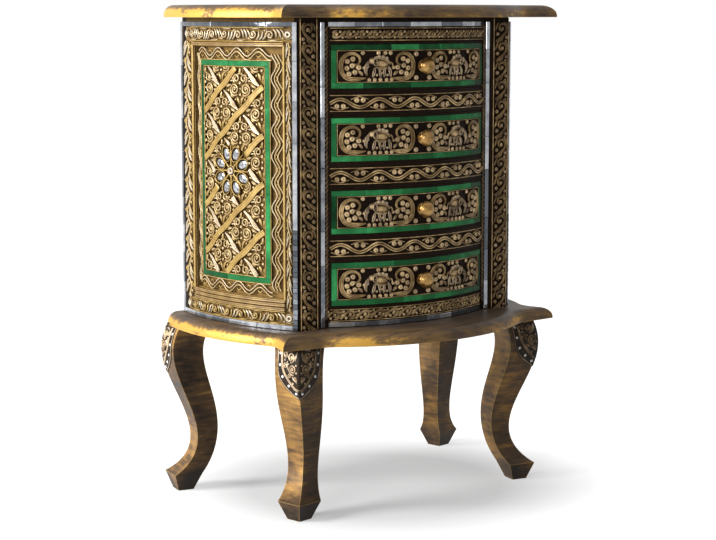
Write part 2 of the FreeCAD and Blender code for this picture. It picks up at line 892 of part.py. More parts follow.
def drawer_green_border(name, sill):
    """Four strips of green glass set on a drawer front, as a frame."""
    half = drawer_half - d.green_margin
    inner_half = half - d.green_width
    low = sill + d.green_margin
    high = sill + drawer_height - d.green_margin - d.green_width
    upright = high - low - d.green_width
    strips = {
        "low": (-half, half, low, d.green_width),
        "high": (-half, half, high, d.green_width),
        "left": (-half, -inner_half, low + d.green_width, upright),
        "right": (inner_half, half, low + d.green_width, upright),
    }
    group(f"{name}_green_border", [
        board(
            f"{name}_green_{strip}",
            bow_band(x_from, x_to, -d.green_thickness, Size(0)),
            bottom,
            height,
        )
        for strip, (x_from, x_to, bottom, height) in strips.items()
    ])


def drawer_knob(name, sill):
    """Turned mushroom knob, drilled for the screw that holds it from inside."""
    seat = bow(Size(0), Size(0))
    middle = sill + drawer_height / 2
    head = d.knob_head_diameter / 2
    neck = d.knob_neck_diameter / 2
    foot = d.knob_base_diameter / 2
    bore = d.screw_diameter / 2 + d.screw_clearance
    bore_end = d.screw_bite + d.screw_clearance
    flare = d.knob_base_thickness + (foot - neck) / 2
    knob = [
        (Size(0), bore),
        (Size(0), foot),
        (-d.knob_base_thickness, foot),
        (-flare, neck),
        (-d.knob_neck_end, neck),
        (-d.knob_brim, head, arc_radius(head, d.knob_reach - d.knob_brim)),
        (-d.knob_reach, Size(0)),
        (-bore_end, Size(0)),
        (-bore_end, bore),
    ]
    keep(turned(f"{name}_knob", knob, seat, middle))
    shank = d.screw_diameter / 2
    cap = d.screw_head_diameter / 2
    inside = d.drawer_front_thickness + d.screw_clearance
    screw = [
        (-d.screw_bite, Size(0)),
        (-d.screw_bite, shank),
        (inside, shank),
        (inside, cap),
        (inside + d.screw_head_thickness, cap),
        (inside + d.screw_head_thickness, Size(0)),
    ]
    keep(turned(f"{name}_knob_screw", screw, seat, middle))


def flower_petals(sign):
    """Solids of one mirror flower, each lying on the bowed side panel."""
    upward = FreeCAD.Vector(0, 0, 1)
    count = round(d.petal_count.number)
    petal = Part.Ellipse(FreeCAD.Vector(), d.petal_length.number / 2, d.petal_width.number / 2)
    eye = Part.Circle(FreeCAD.Vector(), FreeCAD.Vector(0, 0, 1), d.flower_eye_diameter.number / 2)
    places = [(0, 0, eye)]
    for index in range(count):
        turn = 2 * math.pi * (index + 0.5) / count
        places.append((d.flower_ring_radius.number, turn, petal))
    solids = []
    for ring, turn, curve in places:
        tile = Part.Face(Part.Wire(curve.toShape())).extrude(upward * d.petal_thickness.number)
        tile.rotate(FreeCAD.Vector(), upward, math.degrees(turn))
        seat = side_seat(ring * math.cos(turn), ring * math.sin(turn))
        solids.append(set_on(tile, *seat, sign))
    return solids


def mirror_flowers():
    flowers = doc.addObject("Part::Feature", "side_mirror_flowers")
    flowers.Shape = Part.makeCompound([tile for sign in SIDES.values() for tile in flower_petals(sign)])
    flowers.Placement = FreeCAD.Placement()
    keep(flowers)


def dowels():
    """Dowels between the legs and base, and between the posts and both boards."""
    places = [(x, y, d.leg_height) for x, y in leg_dowels]
    places += [(x, y, height) for x, y in post_dowels for height in (deck, lid)]
    pins = []
    for index, (x, y, height) in enumerate(places):
        pin = doc.addObject("Part::Cylinder", f"dowel_{index + 1}")
        pin.setExpression("Radius", (d.dowel_diameter / 2).text)
        pin.setExpression("Height", d.dowel_length.text)
        pin.setExpression("Placement.Base.x", x.text)
        pin.setExpression("Placement.Base.y", y.text)
        pin.setExpression("Placement.Base.z", (height - d.dowel_length / 2).text)
        pins.append(pin)
    group("dowels", pins)


def build():
    moulded_panel("base_panel", d.leg_height, d.base_thickness, (
        ("leg_dowels", Size(0), leg_dowels),
        ("post_dowels", d.base_thickness, post_dowels),
    ))
    moulded_panel("top_panel", lid, d.top_thickness, (("post_dowels", Size(0), post_dowels),))
    for hand, sign in SIDES.items():
        for end in legs:
            leg(end, hand, sign)
        front_post(hand, sign)
        rear_post(hand, sign)
        side_frame(hand, sign)
        front_stile(hand, sign)
        side_mirror_strips(hand, sign)
    front_rails()
    front_mirror_strips()
    borders = [strip for hand, sign in SIDES.items() for strip in side_green_border(hand, sign)]
    group("side_green_borders", borders)
    mirror_flowers()
    group("knee_plaques", [knee_plaque(end, hand, sign) for hand, sign in SIDES.items() for end in legs])
    back_panel()
    drawer_runners()
    for number in range(1, DRAWERS + 1):
        name = f"drawer_{number}"
        sill = drawer_sill(number)
        drawer_front(name, sill)
        drawer_box(name, sill)
        drawer_green_border(name, sill)
        drawer_knob(name, sill)
    dowels()


def check():
    """Stops if any object failed or any sub-part has no valid shape."""
    for item in doc.Objects:
        if {"Invalid", "Error"} & set(item.State):
            raise RuntimeError(f"{item.Label} failed: {item.State}")
    for label, body in parts.items():
        if body.Shape.isNull() or not body.Shape.isValid() or not body.Shape.Solids:
            raise RuntimeError(f"{label} has no valid shape")


def write():
    os.makedirs("parts", exist_ok=True)
    for label, body in parts.items():
        body.Shape.exportStep(os.path.join("parts", f"{label}.step"))


build()
doc.recompute()
check()
write()
print(len(parts), "sub-parts")
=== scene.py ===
# Looks of the mosaic cabinet: carved gilt relief, glass mosaic, finishes, studio light and camera.
import json
import math
import random
from collections import namedtuple

import bpy
import numpy as np
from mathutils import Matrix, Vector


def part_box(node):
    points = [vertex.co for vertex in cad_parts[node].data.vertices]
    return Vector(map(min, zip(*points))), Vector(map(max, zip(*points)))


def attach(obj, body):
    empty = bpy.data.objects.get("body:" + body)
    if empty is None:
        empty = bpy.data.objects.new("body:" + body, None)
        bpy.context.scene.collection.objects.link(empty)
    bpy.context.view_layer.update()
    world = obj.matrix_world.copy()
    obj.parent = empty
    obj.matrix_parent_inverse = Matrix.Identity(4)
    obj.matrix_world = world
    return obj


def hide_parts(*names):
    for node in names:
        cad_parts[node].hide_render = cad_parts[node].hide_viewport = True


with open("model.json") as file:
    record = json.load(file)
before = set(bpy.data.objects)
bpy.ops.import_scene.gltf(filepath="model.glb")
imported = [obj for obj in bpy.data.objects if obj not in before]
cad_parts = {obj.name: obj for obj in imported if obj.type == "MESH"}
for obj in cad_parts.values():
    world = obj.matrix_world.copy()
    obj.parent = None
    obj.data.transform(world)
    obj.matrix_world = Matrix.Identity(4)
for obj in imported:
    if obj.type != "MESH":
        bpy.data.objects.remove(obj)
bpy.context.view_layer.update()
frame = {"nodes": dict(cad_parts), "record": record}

# Carving is laid out in millimetres on each surface, and turned into metres when it is placed.
# STEP is the distance between the points of a path, and SINK how far a raised shape goes into its surface.
MM = 0.001
STEP = 1.3
LONG_STEP = 3.0
SINK = 0.35
DRAWERS = (1, 2, 3, 4)
HANDS = {"left": -1, "right": 1}
SIDES = (-1, 1)


def box(node):
    """Lowest and highest corner of a CAD node, in millimetres."""
    low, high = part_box(node)
    return np.array(low) / MM, np.array(high) / MM


def levels(node):
    """Lowest and highest level of a CAD node, in millimetres."""
    low, high = box(node)
    return low[2], high[2]


def middle_and_half(low, high):
    return (low + high) / 2, (high - low) / 2


def arc_radius(half_chord, sag):
    return (half_chord ** 2 + sag ** 2) / (2 * sag)


# Places read from the frame
post_low, post_high = box("front_right_post")
POST_INNER, FACE, DECK = post_low
POST_OUTER = post_high[0]
LID = post_high[2]
STILE_FACE = box("right_front_stile")[0][1]
rail_low, rail_high = box("top_front_rail")
OPENING_HALF = rail_high[0]
BOW_SAG = STILE_FACE - rail_low[1]
BOW_RADIUS = arc_radius(OPENING_HALF, BOW_SAG)
BOW_HALF = BOW_RADIUS * math.asin(OPENING_HALF / BOW_RADIUS)
MIRROR_FOOT, MIRROR_HEAD = levels("front_mirror_strips")
PANEL_FOOT, PANEL_HEAD = levels("left_side_panel")
GREEN_FOOT, GREEN_HEAD = levels("side_green_borders")
PLAQUE_TIP, PLAQUE_TOP = levels("knee_plaques")

GREEN_WIDTH = 8.0
MIRROR_WIDTH = 7.0
GLASS_THICKNESS = 1.6

# Layout of a bowed side, measured along its chord from the front corner
SIDE_CHORD = 275.0
SIDE_SPLAY = math.radians(7)
SIDE_SAG = 27.0
SIDE_RADIUS = arc_radius(SIDE_CHORD / 2, SIDE_SAG)
PANEL_RECESS = 6.0
SIDE_MIDDLE = 126.0
FIELD_HALF = 68.5
FIELD_HEIGHT, green_rise = middle_and_half(GREEN_FOOT, GREEN_HEAD)
FIELD_RISE = green_rise - GREEN_WIDTH


# Surfaces: functions from (along, up, out) in millimetres to points in metres, with the hand of that frame
def front_bow(along, up, out):
    """The bowed front, along its arc from the middle."""
    turn = along / BOW_RADIUS
    reach = BOW_RADIUS + out
    depth = STILE_FACE - BOW_SAG + BOW_RADIUS - reach * np.cos(turn)
    return np.stack([reach * np.sin(turn), depth, up], axis=-1) * MM


front_bow.hand = 1


def flat_front(face):
    """A flat face to the front at one depth."""
    def surface(along, up, out):
        return np.stack([along, face - out, up], axis=-1) * MM

    surface.hand = 1
    return surface


def side_bow(sign, depth):
    """A bowed side at a depth below its outer face, along from the field's middle towards the front."""
    radius = SIDE_RADIUS - depth

    def surface(along, up, out):
        turn = np.arcsin((SIDE_MIDDLE - along - SIDE_CHORD / 2) / radius)
        reach = radius + out
        chord = SIDE_CHORD / 2 + reach * np.sin(turn)
        rise = reach * np.cos(turn) - SIDE_RADIUS + SIDE_SAG
        across = POST_OUTER + chord * math.sin(SIDE_SPLAY) + rise * math.cos(SIDE_SPLAY)
        back = FACE + chord * math.cos(SIDE_SPLAY) - rise * math.sin(SIDE_SPLAY)
        return np.stack([sign * across, back, up], axis=-1) * MM

    surface.hand = -sign
    return surface


# Paths: arrays of points in millimetres, about STEP apart
def evenly(points, step=STEP):
    """The same line with its points about one step apart."""
    points = np.asarray(points, float)
    run = np.concatenate([[0], np.cumsum(np.linalg.norm(np.diff(points, axis=0), axis=1))])
    count = max(3, int(round(run[-1] / step)) + 1)
    places = np.linspace(0, run[-1], count)
    return np.column_stack([np.interp(places, run, points[:, axis]) for axis in (0, 1)])


def wave(length, swing, half_wave):
    """A sine line along the first axis."""
    places = np.linspace(0, length, max(8, int(length / STEP) * 2))
    return evenly(np.column_stack([places, swing * np.sin(math.pi * (places / half_wave))]))


def spiral(centre, outer, inner, begin, turns):
    """A spiral from its outer end, begin in degrees and turns anticlockwise when positive."""
    share = np.linspace(0, 1, max(12, int(abs(turns) * 40)))
    angle = math.radians(begin) + share * turns * 2 * math.pi
    radius = outer + (inner - outer) * share
    return evenly(np.column_stack([centre[0] + radius * np.cos(angle), centre[1] + radius * np.sin(angle)]))


def curve(*points):
    """A smooth line through the points."""
    points = np.asarray(points, float)
    padded = np.vstack([2 * points[0] - points[1], points, 2 * points[-1] - points[-2]])
    share = np.linspace(0, 1, 12, endpoint=False)[:, None]
    spans = []
    for before, start, end, after in zip(padded, padded[1:], padded[2:], padded[3:]):
        spans.append(0.5 * (
            2 * start + (end - before) * share
            + (2 * before - 5 * start + 4 * end - after) * share ** 2
            + (3 * start - before - 3 * end + after) * share ** 3
        ))
    return evenly(np.vstack(spans + [points[-1:]]))


def turned(centre, along, across, turn):
    """Places about a centre, turned by degrees."""
    lean = math.radians(turn)
    return (
        centre[0] + along * math.cos(lean) - across * math.sin(lean),
        centre[1] + along * math.sin(lean) + across * math.cos(lean),
    )


def leaf_width(path, widest, ends=0.2):
    """Widths that swell in the middle of a path."""
    share = np.linspace(0, 1, len(path))
    return widest * (ends + (1 - ends) * np.sin(math.pi * share) ** 0.8)


# Sections of raised lines, as shares of half the width and of the height
ROUND = np.array([(-1, 0), (-0.7, 0.75), (0, 1), (0.7, 0.75), (1, 0)])
GROOVED = np.array([(-1, 0), (-0.8, 0.85), (-0.45, 1), (0, 0.3), (0.45, 1), (0.8, 0.85), (1, 0)])
RIBBED = np.array([
    (-1, 0), (-0.9, 0.8), (-0.62, 0.95), (-0.34, 0.55), (0, 1),
    (0.34, 0.55), (0.62, 0.95), (0.9, 0.8), (1, 0),
])
TILE = np.array([(-1, 0), (-1, 0.7), (-0.88, 1), (0.88, 1), (1, 0.7), (1, 0)])

# Rings of bosses, as shares of the radius and of the height
DOME = ((1, 0), (0.86, 0.55), (0.55, 0.88), (0.2, 1))
CUP = ((1, 0), (0.9, 0.62), (0.66, 0.96), (0.36, 1), (0.14, 0.72))
EYE = ((1, 0), (0.94, 0.7), (0.7, 1), (0.42, 0.85), (0.28, 0.12))
PILLOW = ((1, 0), (0.92, 0.6), (0.6, 0.9), (0.2, 1))

# Strokes of a motif. Tone runs from 0, gold, to 1, pale.
Rib = namedtuple("Rib", "path width height section tone closed", defaults=(ROUND, 0.0, False))
Boss = namedtuple("Boss", "centre long wide height turn tone rings", defaults=(0.0, 0.0, DOME))


def bead(centre, radius, height, tone=0.3, rings=CUP):
    return Boss(centre, radius, radius, height, 0.0, tone, rings)


def beads(centres, radius, height, tone=0.3):
    return [bead(centre, radius, height, tone) for centre in centres]


def leaf(points, widest, height, section=ROUND, tone=0.0):
    path = curve(*points)
    return Rib(path, leaf_width(path, widest), leaf_width(path, height, 0.4), section, tone)


def ring(centre, long, wide, width, height, turn=0.0, tone=0.0):
    """A raised line around an oval."""
    angle = np.linspace(0, 2 * math.pi, max(12, int(math.pi * (long + wide) / STEP)), endpoint=False)
    path = np.column_stack(turned(centre, long * np.cos(angle), wide * np.sin(angle), turn))
    return Rib(path, width, height, ROUND, tone, True)


def moved(strokes, at=(0.0, 0.0), turn=0.0, flip=1, size=1.0):
    """The strokes mirrored across their own axis, scaled, turned by degrees and moved."""
    lean = math.radians(turn)
    matrix = size * np.array([
        [math.cos(lean), -flip * math.sin(lean)],
        [math.sin(lean), flip * math.cos(lean)],
    ])
    result = []
    for stroke in strokes:
        if isinstance(stroke, Rib):
            result.append(stroke._replace(path=np.asarray(stroke.path) @ matrix.T + at))
        else:
            centre = matrix @ np.asarray(stroke.centre, float) + at
            result.append(stroke._replace(
                centre=tuple(centre), long=stroke.long * size, wide=stroke.wide * size,
                turn=flip * stroke.turn + turn,
            ))
    return result


def mirrored(strokes):
    """The strokes mirrored left to right."""
    return moved(strokes, turn=180, flip=-1)


def repeated(unit, count, pitch, flips=(1, 1)):
    """A unit again and again along a band, mirrored across the band's axis where its flip is -1."""
    strokes = []
    for index in range(count):
        strokes.extend(moved(unit, (index * pitch, 0), flip=flips[index % 2]))
    return strokes


def dimmed(strokes, share):
    """The same strokes with lower crests: less of their gilt rubbed bright and less of the painted
    highlight.
    """
    result = []
    for stroke in strokes:
        if isinstance(stroke, Rib):
            lower = {"section": stroke.section * (1, share)}
        else:
            lower = {"rings": np.array(stroke.rings) * (1, share)}
        result.append(stroke._replace(height=stroke.height / share, **lower))
    return result


def trimmed(strokes, keep):
    """What is left of the strokes where keep is true; keep takes points and a reach about them."""
    kept = []
    for stroke in strokes:
        if isinstance(stroke, Boss):
            if keep(np.array([stroke.centre]), min(stroke.long, stroke.wide))[0]:
                kept.append(stroke)
            continue
        within = keep(stroke.path, 0.0)
        for run in np.split(np.arange(len(within)), np.flatnonzero(np.diff(within.astype(int))) + 1):
            if within[run[0]] and len(run) > 3:
                kept.append(stroke._replace(
                    path=stroke.path[run],
                    width=stroke.width[run] if np.ndim(stroke.width) else stroke.width,
                    height=stroke.height[run] if np.ndim(stroke.height) else stroke.height,
                    closed=stroke.closed and len(run) == len(within),
                ))
    return kept


def inside(strokes, low, high):
    """The parts of the strokes that lie in the window between two corners."""
    return trimmed(strokes, lambda points, reach: np.all(
        (points - reach >= np.asarray(low)) & (points + reach <= np.asarray(high)), axis=1))


def keep_clear(strokes, centre, radius):
    """The strokes without what lies within a circle."""
    return trimmed(strokes, lambda points, reach: np.linalg.norm(points - centre, axis=1) > radius)


def placed(name, data):
    """A new object in the scene."""
    thing = bpy.data.objects.new(name, data)
    bpy.context.scene.collection.objects.link(thing)
    return thing


class Relief:
    """Closed raised shapes laid on surfaces and gathered into one mesh."""

    SMALL_BOSS = 3
    SMALL_BOSS_SIDES = 10
    BOSS_SIDES = 14
    smooth = True

    def __init__(self, name):
        self.name = name
        self.points = []
        self.values = {"crest": [], "tone": []}
        self.faces = []
        self.total = 0

    def lay(self, surface, strokes):
        for stroke in strokes:
            if isinstance(stroke, Rib):
                self.rib(surface, stroke)
            else:
                self.boss(surface, stroke)

    def rib(self, surface, stroke):
        """A raised line: one section swept along a path on the surface."""
        path, count = stroke.path, len(stroke.path)
        if stroke.closed:
            heading = np.roll(path, -1, axis=0) - np.roll(path, 1, axis=0)
        else:
            heading = np.gradient(path, axis=0)
        heading = heading / np.maximum(np.linalg.norm(heading, axis=1, keepdims=True), 1e-9)
        half = np.broadcast_to(np.asarray(stroke.width) / 2, count)[:, None] * stroke.section[:, 0]
        along = path[:, :1] - heading[:, 1:] * half
        up = path[:, 1:] + heading[:, :1] * half
        tall = np.broadcast_to(stroke.height, count)[:, None]
        self.loft(surface, along, up, tall, stroke.section[:, 1], stroke.tone, stroke.closed)

    def boss(self, surface, stroke):
        """A raised round or oval shape built of rings."""
        small = max(stroke.long, stroke.wide) < self.SMALL_BOSS
        sides = self.SMALL_BOSS_SIDES if small else self.BOSS_SIDES
        angle = np.linspace(0, 2 * math.pi, sides, endpoint=False)[::-1]
        reach, share = np.array(stroke.rings).T[:, :, None]
        long = stroke.long * reach * np.cos(angle)
        wide = stroke.wide * reach * np.sin(angle)
        along, up = turned(stroke.centre, long, wide, stroke.turn)
        self.loft(surface, along, up, stroke.height, share, stroke.tone)

    def slab(self, surface, along, up, height):
        """A sheet of even height over a grid of places, its rows from right to left."""
        share = np.hstack([np.ones_like(along), np.zeros_like(along)])
        along, up = (np.hstack([places, places[:, ::-1]]) for places in (along, up))
        self.loft(surface, along, up, height, share, 0.0)

    def loft(self, surface, along, up, height, share, tone, closed=False):
        """Rows of places, each a loop, joined into a skin with two end caps or into a closed ring."""
        count, sides = along.shape
        spans = np.arange(count if closed else count - 1)[:, None]
        nexts = (spans + 1) % count
        side = np.arange(sides)
        other = (side + 1) % sides
        quads = [spans * sides + side, nexts * sides + side, nexts * sides + other, spans * sides + other]
        faces = np.stack(quads, -1).reshape(-1, 4).tolist()
        if not closed:
            faces.append(list(range(sides)))
            faces.append(list(range(count * sides - 1, (count - 1) * sides - 1, -1)))
        order = 1 if surface.hand > 0 else -1
        self.faces.extend([[index + self.total for index in face[::order]] for face in faces])
        share = np.broadcast_to(share, along.shape)
        out = np.where(share > 0, height * share, -SINK)
        self.points.append(surface(along, up, out).reshape(-1, 3))
        self.values["crest"].append(share.reshape(-1))
        self.values["tone"].append(np.full(along.size, tone))
        self.total += along.size

    def build(self, body, slot, material, replaces=()):
        mesh = bpy.data.meshes.new(self.name)
        mesh.from_pydata(np.concatenate(self.points).tolist(), [], self.faces)
        for name, parts in self.values.items():
            attribute = mesh.attributes.new(name, "FLOAT", "POINT")
            attribute.data.foreach_set("value", np.concatenate(parts).astype(np.float32))
        mesh.polygons.foreach_set("use_smooth", np.full(len(mesh.polygons), self.smooth))
        mesh.materials.append(material)
        piece = placed(self.name, mesh)
        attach(piece, body)
        if replaces:
            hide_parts(*replaces)


class Mosaic(Relief):
    """Glass tiles with ground edges, set side by side on surfaces; the tone is each tile's own tint."""

    GAP = 0.3
    EDGE = 0.5
    EDGE_HEIGHT = 0.7
    BEND = 9.0
    UNEVEN = 0.25
    LEAST_SHARE = 0.6
    smooth = False

    def __init__(self, name, seed):
        super().__init__(name)
        self.random = random.Random(seed)

    def strip(self, surface, low, high, lengths, tints=(0.0, 1.0)):
        """A row of tiles filling the rectangle between two corners, along its longer way."""
        axis = 0 if high[0] - low[0] > high[1] - low[1] else 1
        middle = (low[1 - axis] + high[1 - axis]) / 2
        width = high[1 - axis] - low[1 - axis]
        place = low[axis]
        while place < high[axis] - self.GAP:
            end = place + self.random.uniform(*lengths)
            if high[axis] - end < lengths[0] * self.LEAST_SHARE:
                end = high[axis]
            last = end - self.GAP
            count = max(2, int((last - place) / self.BEND) + 1)
            bends = np.linspace(place + self.EDGE, last - self.EDGE, count)
            path = np.full((count + 2, 2), middle)
            path[:, axis] = np.concatenate([[place], bends, [last]])
            height = np.full(count + 2, GLASS_THICKNESS - self.random.uniform(0, self.UNEVEN))
            height[[0, -1]] *= self.EDGE_HEIGHT
            self.rib(surface, Rib(path, width, height, TILE, self.random.uniform(*tints)))
            place = end

    def border(self, surface, half, low, high, level_tiles, upright_tiles):
        """Four green strips around a rectangle, the level ones across its whole width."""
        foot, head = low + GREEN_WIDTH, high - GREEN_WIDTH
        for level in (low, head):
            self.strip(surface, (-half, level), (half, level + GREEN_WIDTH), level_tiles)
        for place in (-half, half - GREEN_WIDTH):
            self.strip(surface, (place, foot), (place + GREEN_WIDTH, head), upright_tiles)


# Materials
class Nodes:
    """Short calls for the nodes of a tree."""

    def __init__(self, tree):
        self.tree = tree

    def feed(self, target, source):
        """Links a socket to another, or sets it to a plain value."""
        if isinstance(source, bpy.types.NodeSocket):
            self.tree.links.new(source, target)
        else:
            target.default_value = source

    def node(self, kind, sockets=(), **settings):
        made = self.tree.nodes.new(kind)
        for name, value in settings.items():
            setattr(made, name, value)
        for socket, source in dict(sockets).items():
            self.feed(made.inputs[socket], source)
        return made

    def place(self):
        return self.node("ShaderNodeTexCoord").outputs["Object"]

    def math(self, operation, first, second, clamp=False):
        made = self.node("ShaderNodeMath", {0: first, 1: second}, operation=operation, use_clamp=clamp)
        return made.outputs[0]

    def span(self, factor, low, high, start=0.0, end=1.0):
        """The factor's start to end as low to high."""
        ends = {"From Min": start, "From Max": end, "To Min": low, "To Max": high}
        return self.node("ShaderNodeMapRange", {"Value": factor, **ends}).outputs["Result"]

    def shown_directly(self):
        """1 for rays that show a place: from the camera, in reflections and through glass."""
        paths = self.node("ShaderNodeLightPath").outputs
        either = self.math("MAXIMUM", paths["Is Camera Ray"], paths["Is Glossy Ray"])
        return self.math("MAXIMUM", either, paths["Is Transmission Ray"])


class Finish(Nodes):
    """A Principled material with short calls for its nodes."""

    ARRIS_GAIN = 7.0

    def __init__(self, name, **sockets):
        self.material = bpy.data.materials.new(name)
        self.material.use_nodes = True
        super().__init__(self.material.node_tree)
        self.shader = self.tree.nodes["Principled BSDF"]
        for socket, value in sockets.items():
            self.into(socket.replace("_", " "), value)

    def into(self, socket, source):
        self.feed(self.shader.inputs[socket], source)

    def noise(self, scale, detail=4.0, roughness=0.55, stretch=(1, 1, 1), offset=(0, 0, 0)):
        """Noise in the object's own metres; stretch above 1 makes finer detail along that axis."""
        layout = {"Vector": self.place(), "Scale": stretch, "Location": offset}
        vector = self.node("ShaderNodeMapping", layout).outputs["Vector"]
        grain = {"Vector": vector, "Scale": scale, "Detail": detail, "Roughness": roughness}
        return self.node("ShaderNodeTexNoise", grain).outputs["Fac"]

    def attribute(self, name):
        return self.node("ShaderNodeAttribute", attribute_name=name).outputs["Fac"]

    def normal(self):
        return self.node("ShaderNodeNewGeometry").outputs["Normal"]

    def along(self, source, axis):
        """One axis of a vector."""
        return self.node("ShaderNodeSeparateXYZ", {0: source}).outputs[axis]

    def facing(self, axis):
        """How squarely a face looks along an axis, either way."""
        return self.math("ABSOLUTE", self.along(self.normal(), axis), 0.0)

    def ramp(self, factor, *stops):
        """Colours along a factor: stops are (place, colour)."""
        made = self.node("ShaderNodeValToRGB", {"Fac": factor})
        elements = made.color_ramp.elements
        while len(elements) < len(stops):
            elements.new(0.5)
        for element, (place, colour) in zip(elements, stops):
            element.position = place
            element.color = (*colour, 1)
        return made.outputs["Color"]

    def blend(self, factor, first, second):
        made = self.node("ShaderNodeMix", {"Factor": factor, 6: first, 7: second}, data_type="RGBA")
        return made.outputs[2]

    def done(self, colour, roughness, bump):
        """The material: roughness is (factor, low, high), and bump is (height, distance, strength)."""
        self.into("Base Color", colour)
        self.into("Roughness", self.span(*roughness))
        sockets = dict(zip(("Height", "Distance", "Strength"), bump))
        self.into("Normal", self.node("ShaderNodeBump", sockets).outputs["Normal"])
        return self.material

    def edges(self, radius):
        """How much a place is a worn arris: 0 on flat faces, towards 1 on edges."""
        rounded = self.node("ShaderNodeBevel", {"Radius": radius}, samples=6).outputs["Normal"]
        dot = self.node("ShaderNodeVectorMath", {0: rounded, 1: self.normal()}, operation="DOT_PRODUCT")
        bare = self.math("SUBTRACT", 1.0, dot.outputs["Value"])
        return self.math("MULTIPLY", bare, self.ARRIS_GAIN, clamp=True)


def gilt_relief(name, ground, shade, gold, light, pale):
    """Gilded carving: dark in its hollows, rubbed bright on its crests, with some strokes left pale; the
    brightest crest colour, light, is a painted highlight standing in for glints.
    """
    finish = Finish(name, Specular_IOR_Level=0.3)
    worn = finish.span(finish.noise(60, 5), -0.65, 0.45)
    # rubbed is worn gilt on the crests, and its top end picks light, the painted highlight.
    rubbed = finish.math("ADD", finish.attribute("crest"), worn, clamp=True)
    gilded = finish.ramp(rubbed, (0.0, ground), (0.4, shade), (0.75, gold), (1.0, light))
    chalky = finish.ramp(rubbed, (0.0, ground), (0.4, shade), (0.8, pale))
    colour = finish.blend(finish.attribute("tone"), gilded, chalky)
    finish.into("Metallic", finish.span(rubbed, 0.0, 0.3))
    return finish.done(colour, (finish.noise(420, 3), 0.28, 0.5), (finish.noise(700, 3), 0.0003, 0.5))


def lacquer(name, dark, warm, gold, gold_from):
    """The flat ground between the carving: dark lacquer with rubbed gold and worn arrises."""
    finish = Finish(name, Specular_IOR_Level=0.05)
    fine = finish.noise(260, 4)
    cloud = finish.span(finish.noise(38, 6, 0.62), -0.1, 0.75)
    tone = finish.math("ADD", finish.math("MULTIPLY", fine, 0.35), cloud)
    colour = finish.ramp(tone, (0.2, dark), (0.5, warm), (gold_from, warm), (0.95, gold))
    worn = finish.ramp(fine, (0.3, warm), (0.7, gold))
    colour = finish.blend(finish.edges(0.0012), colour, worn)
    finish.into("Metallic", finish.span(tone, 0.0, 0.2))
    return finish.done(colour, (fine, 0.45, 0.7), (finish.noise(330, 5), 0.0004, 0.6))


class BrushedGilt(Finish):
    """Wood brushed over with gold lacquer: long strokes, darker patches and rubbed arrises."""

    def __init__(self, name, stretch, patch_place, patch_range):
        super().__init__(name, Specular_IOR_Level=0.2)
        self.strokes = self.noise(30, 6, 0.65, stretch)
        patches = self.span(self.noise(13, 4, offset=patch_place), *patch_range)
        self.tone = self.math("ADD", self.math("MULTIPLY", self.strokes, 0.95), patches)

    def lighten(self, share):
        self.tone = self.math("ADD", self.tone, share)

    def coloured(self, stops, metallic):
        """The material, coloured by its tone once everything has been added to that."""
        rub = self.math("MULTIPLY", self.edges(0.0022), self.span(self.noise(60, 5), 0.1, 1.0), clamp=True)
        worn = self.ramp(self.strokes, (0.3, ANTIQUE_GOLD), (0.8, stops[-1][1]))
        colour = self.blend(rub, self.ramp(self.tone, *stops), worn)
        self.into("Metallic", self.span(self.tone, 0.0, metallic))
        return self.done(colour, (self.strokes, 0.34, 0.6), (self.strokes, 0.0006, 0.5))


def gilt_board(name, stops):
    """Brown lacquered boards whose rounded edges are gilded, most of all at the two ends, where the extra
    gold is a painted light; faces turned up get less.
    """
    finish = BrushedGilt(name, (0.7, 6, 6), (0, 0, 0), (-0.45, 0.5))
    # Painted light: the gilt is weighted by facing, most on the end faces, a little on the front, less on
    # faces turned up.
    end = finish.math("MULTIPLY", finish.facing("X"), 1.1)
    front = finish.math("MULTIPLY", finish.facing("Y"), 0.1)
    lower = finish.span(finish.along(finish.normal(), "Z"), 1.0, 0.0, 0.45, 0.9)
    gilding_and_painted_light = finish.math("MULTIPLY", finish.math("ADD", end, front), lower)
    spots = finish.span(finish.noise(22, 6, 0.75, (1, 1, 2)), 0.05, 1.0, 0.3, 0.6)
    finish.lighten(finish.math("MULTIPLY", gilding_and_painted_light, spots))
    return finish.coloured(stops, 0.35)


def leg_wood(name, stops):
    """Brushed brown legs, more gilded and lighter on the faces to the side, a painted light, and darker at
    the feet.
    """
    finish = BrushedGilt(name, (0.8, 0.8, 5), (0, 0.37, 0.41), (-0.7, 0.65))
    finish.lighten(finish.span(finish.along(finish.place(), "Z"), -0.3, 0.0, 0.012, 0.045))
    # Painted light: faces turned to the sides are made lighter and more golden than the front and back
    # faces.
    finish.lighten(finish.span(finish.facing("X"), -0.02, 0.13, 0.3, 0.9))
    return finish.coloured(stops, 0.15)


def plain_wood(name):
    finish = Finish(name)
    grain = finish.noise(14, 6, 0.6, (1.2, 1.2, 9))
    pores = finish.noise(120, 4, 0.5, (1, 1, 8))
    early, middle, late = (0.10, 0.05, 0.022), (0.20, 0.105, 0.045), (0.30, 0.17, 0.075)
    colour = finish.ramp(grain, (0.25, early), (0.5, middle), (0.75, late))
    dark = finish.ramp(pores, (0.35, (0.05, 0.025, 0.012)), (0.65, (0.26, 0.14, 0.06)))
    colour = finish.blend(finish.span(pores, 0.0, 0.5), colour, dark)
    return finish.done(colour, (pores, 0.5, 0.75), (pores, 0.0004, 0.5))


def clouded(name, attribute, tint_share, cloud_share, cloud_scale, stops, roughness, ripple, **sockets):
    """Glass whose colour follows a tint from an attribute and soft clouds in it."""
    finish = Finish(name, **sockets)
    cloud = finish.noise(cloud_scale, 3)
    tint = finish.span(finish.attribute(attribute), *tint_share)
    tone = finish.math("ADD", finish.math("MULTIPLY", cloud, cloud_share), tint)
    colour = finish.ramp(tone, *stops)
    return finish.done(colour, (cloud, *roughness), (finish.noise(160, 2), 0.0003, ripple))


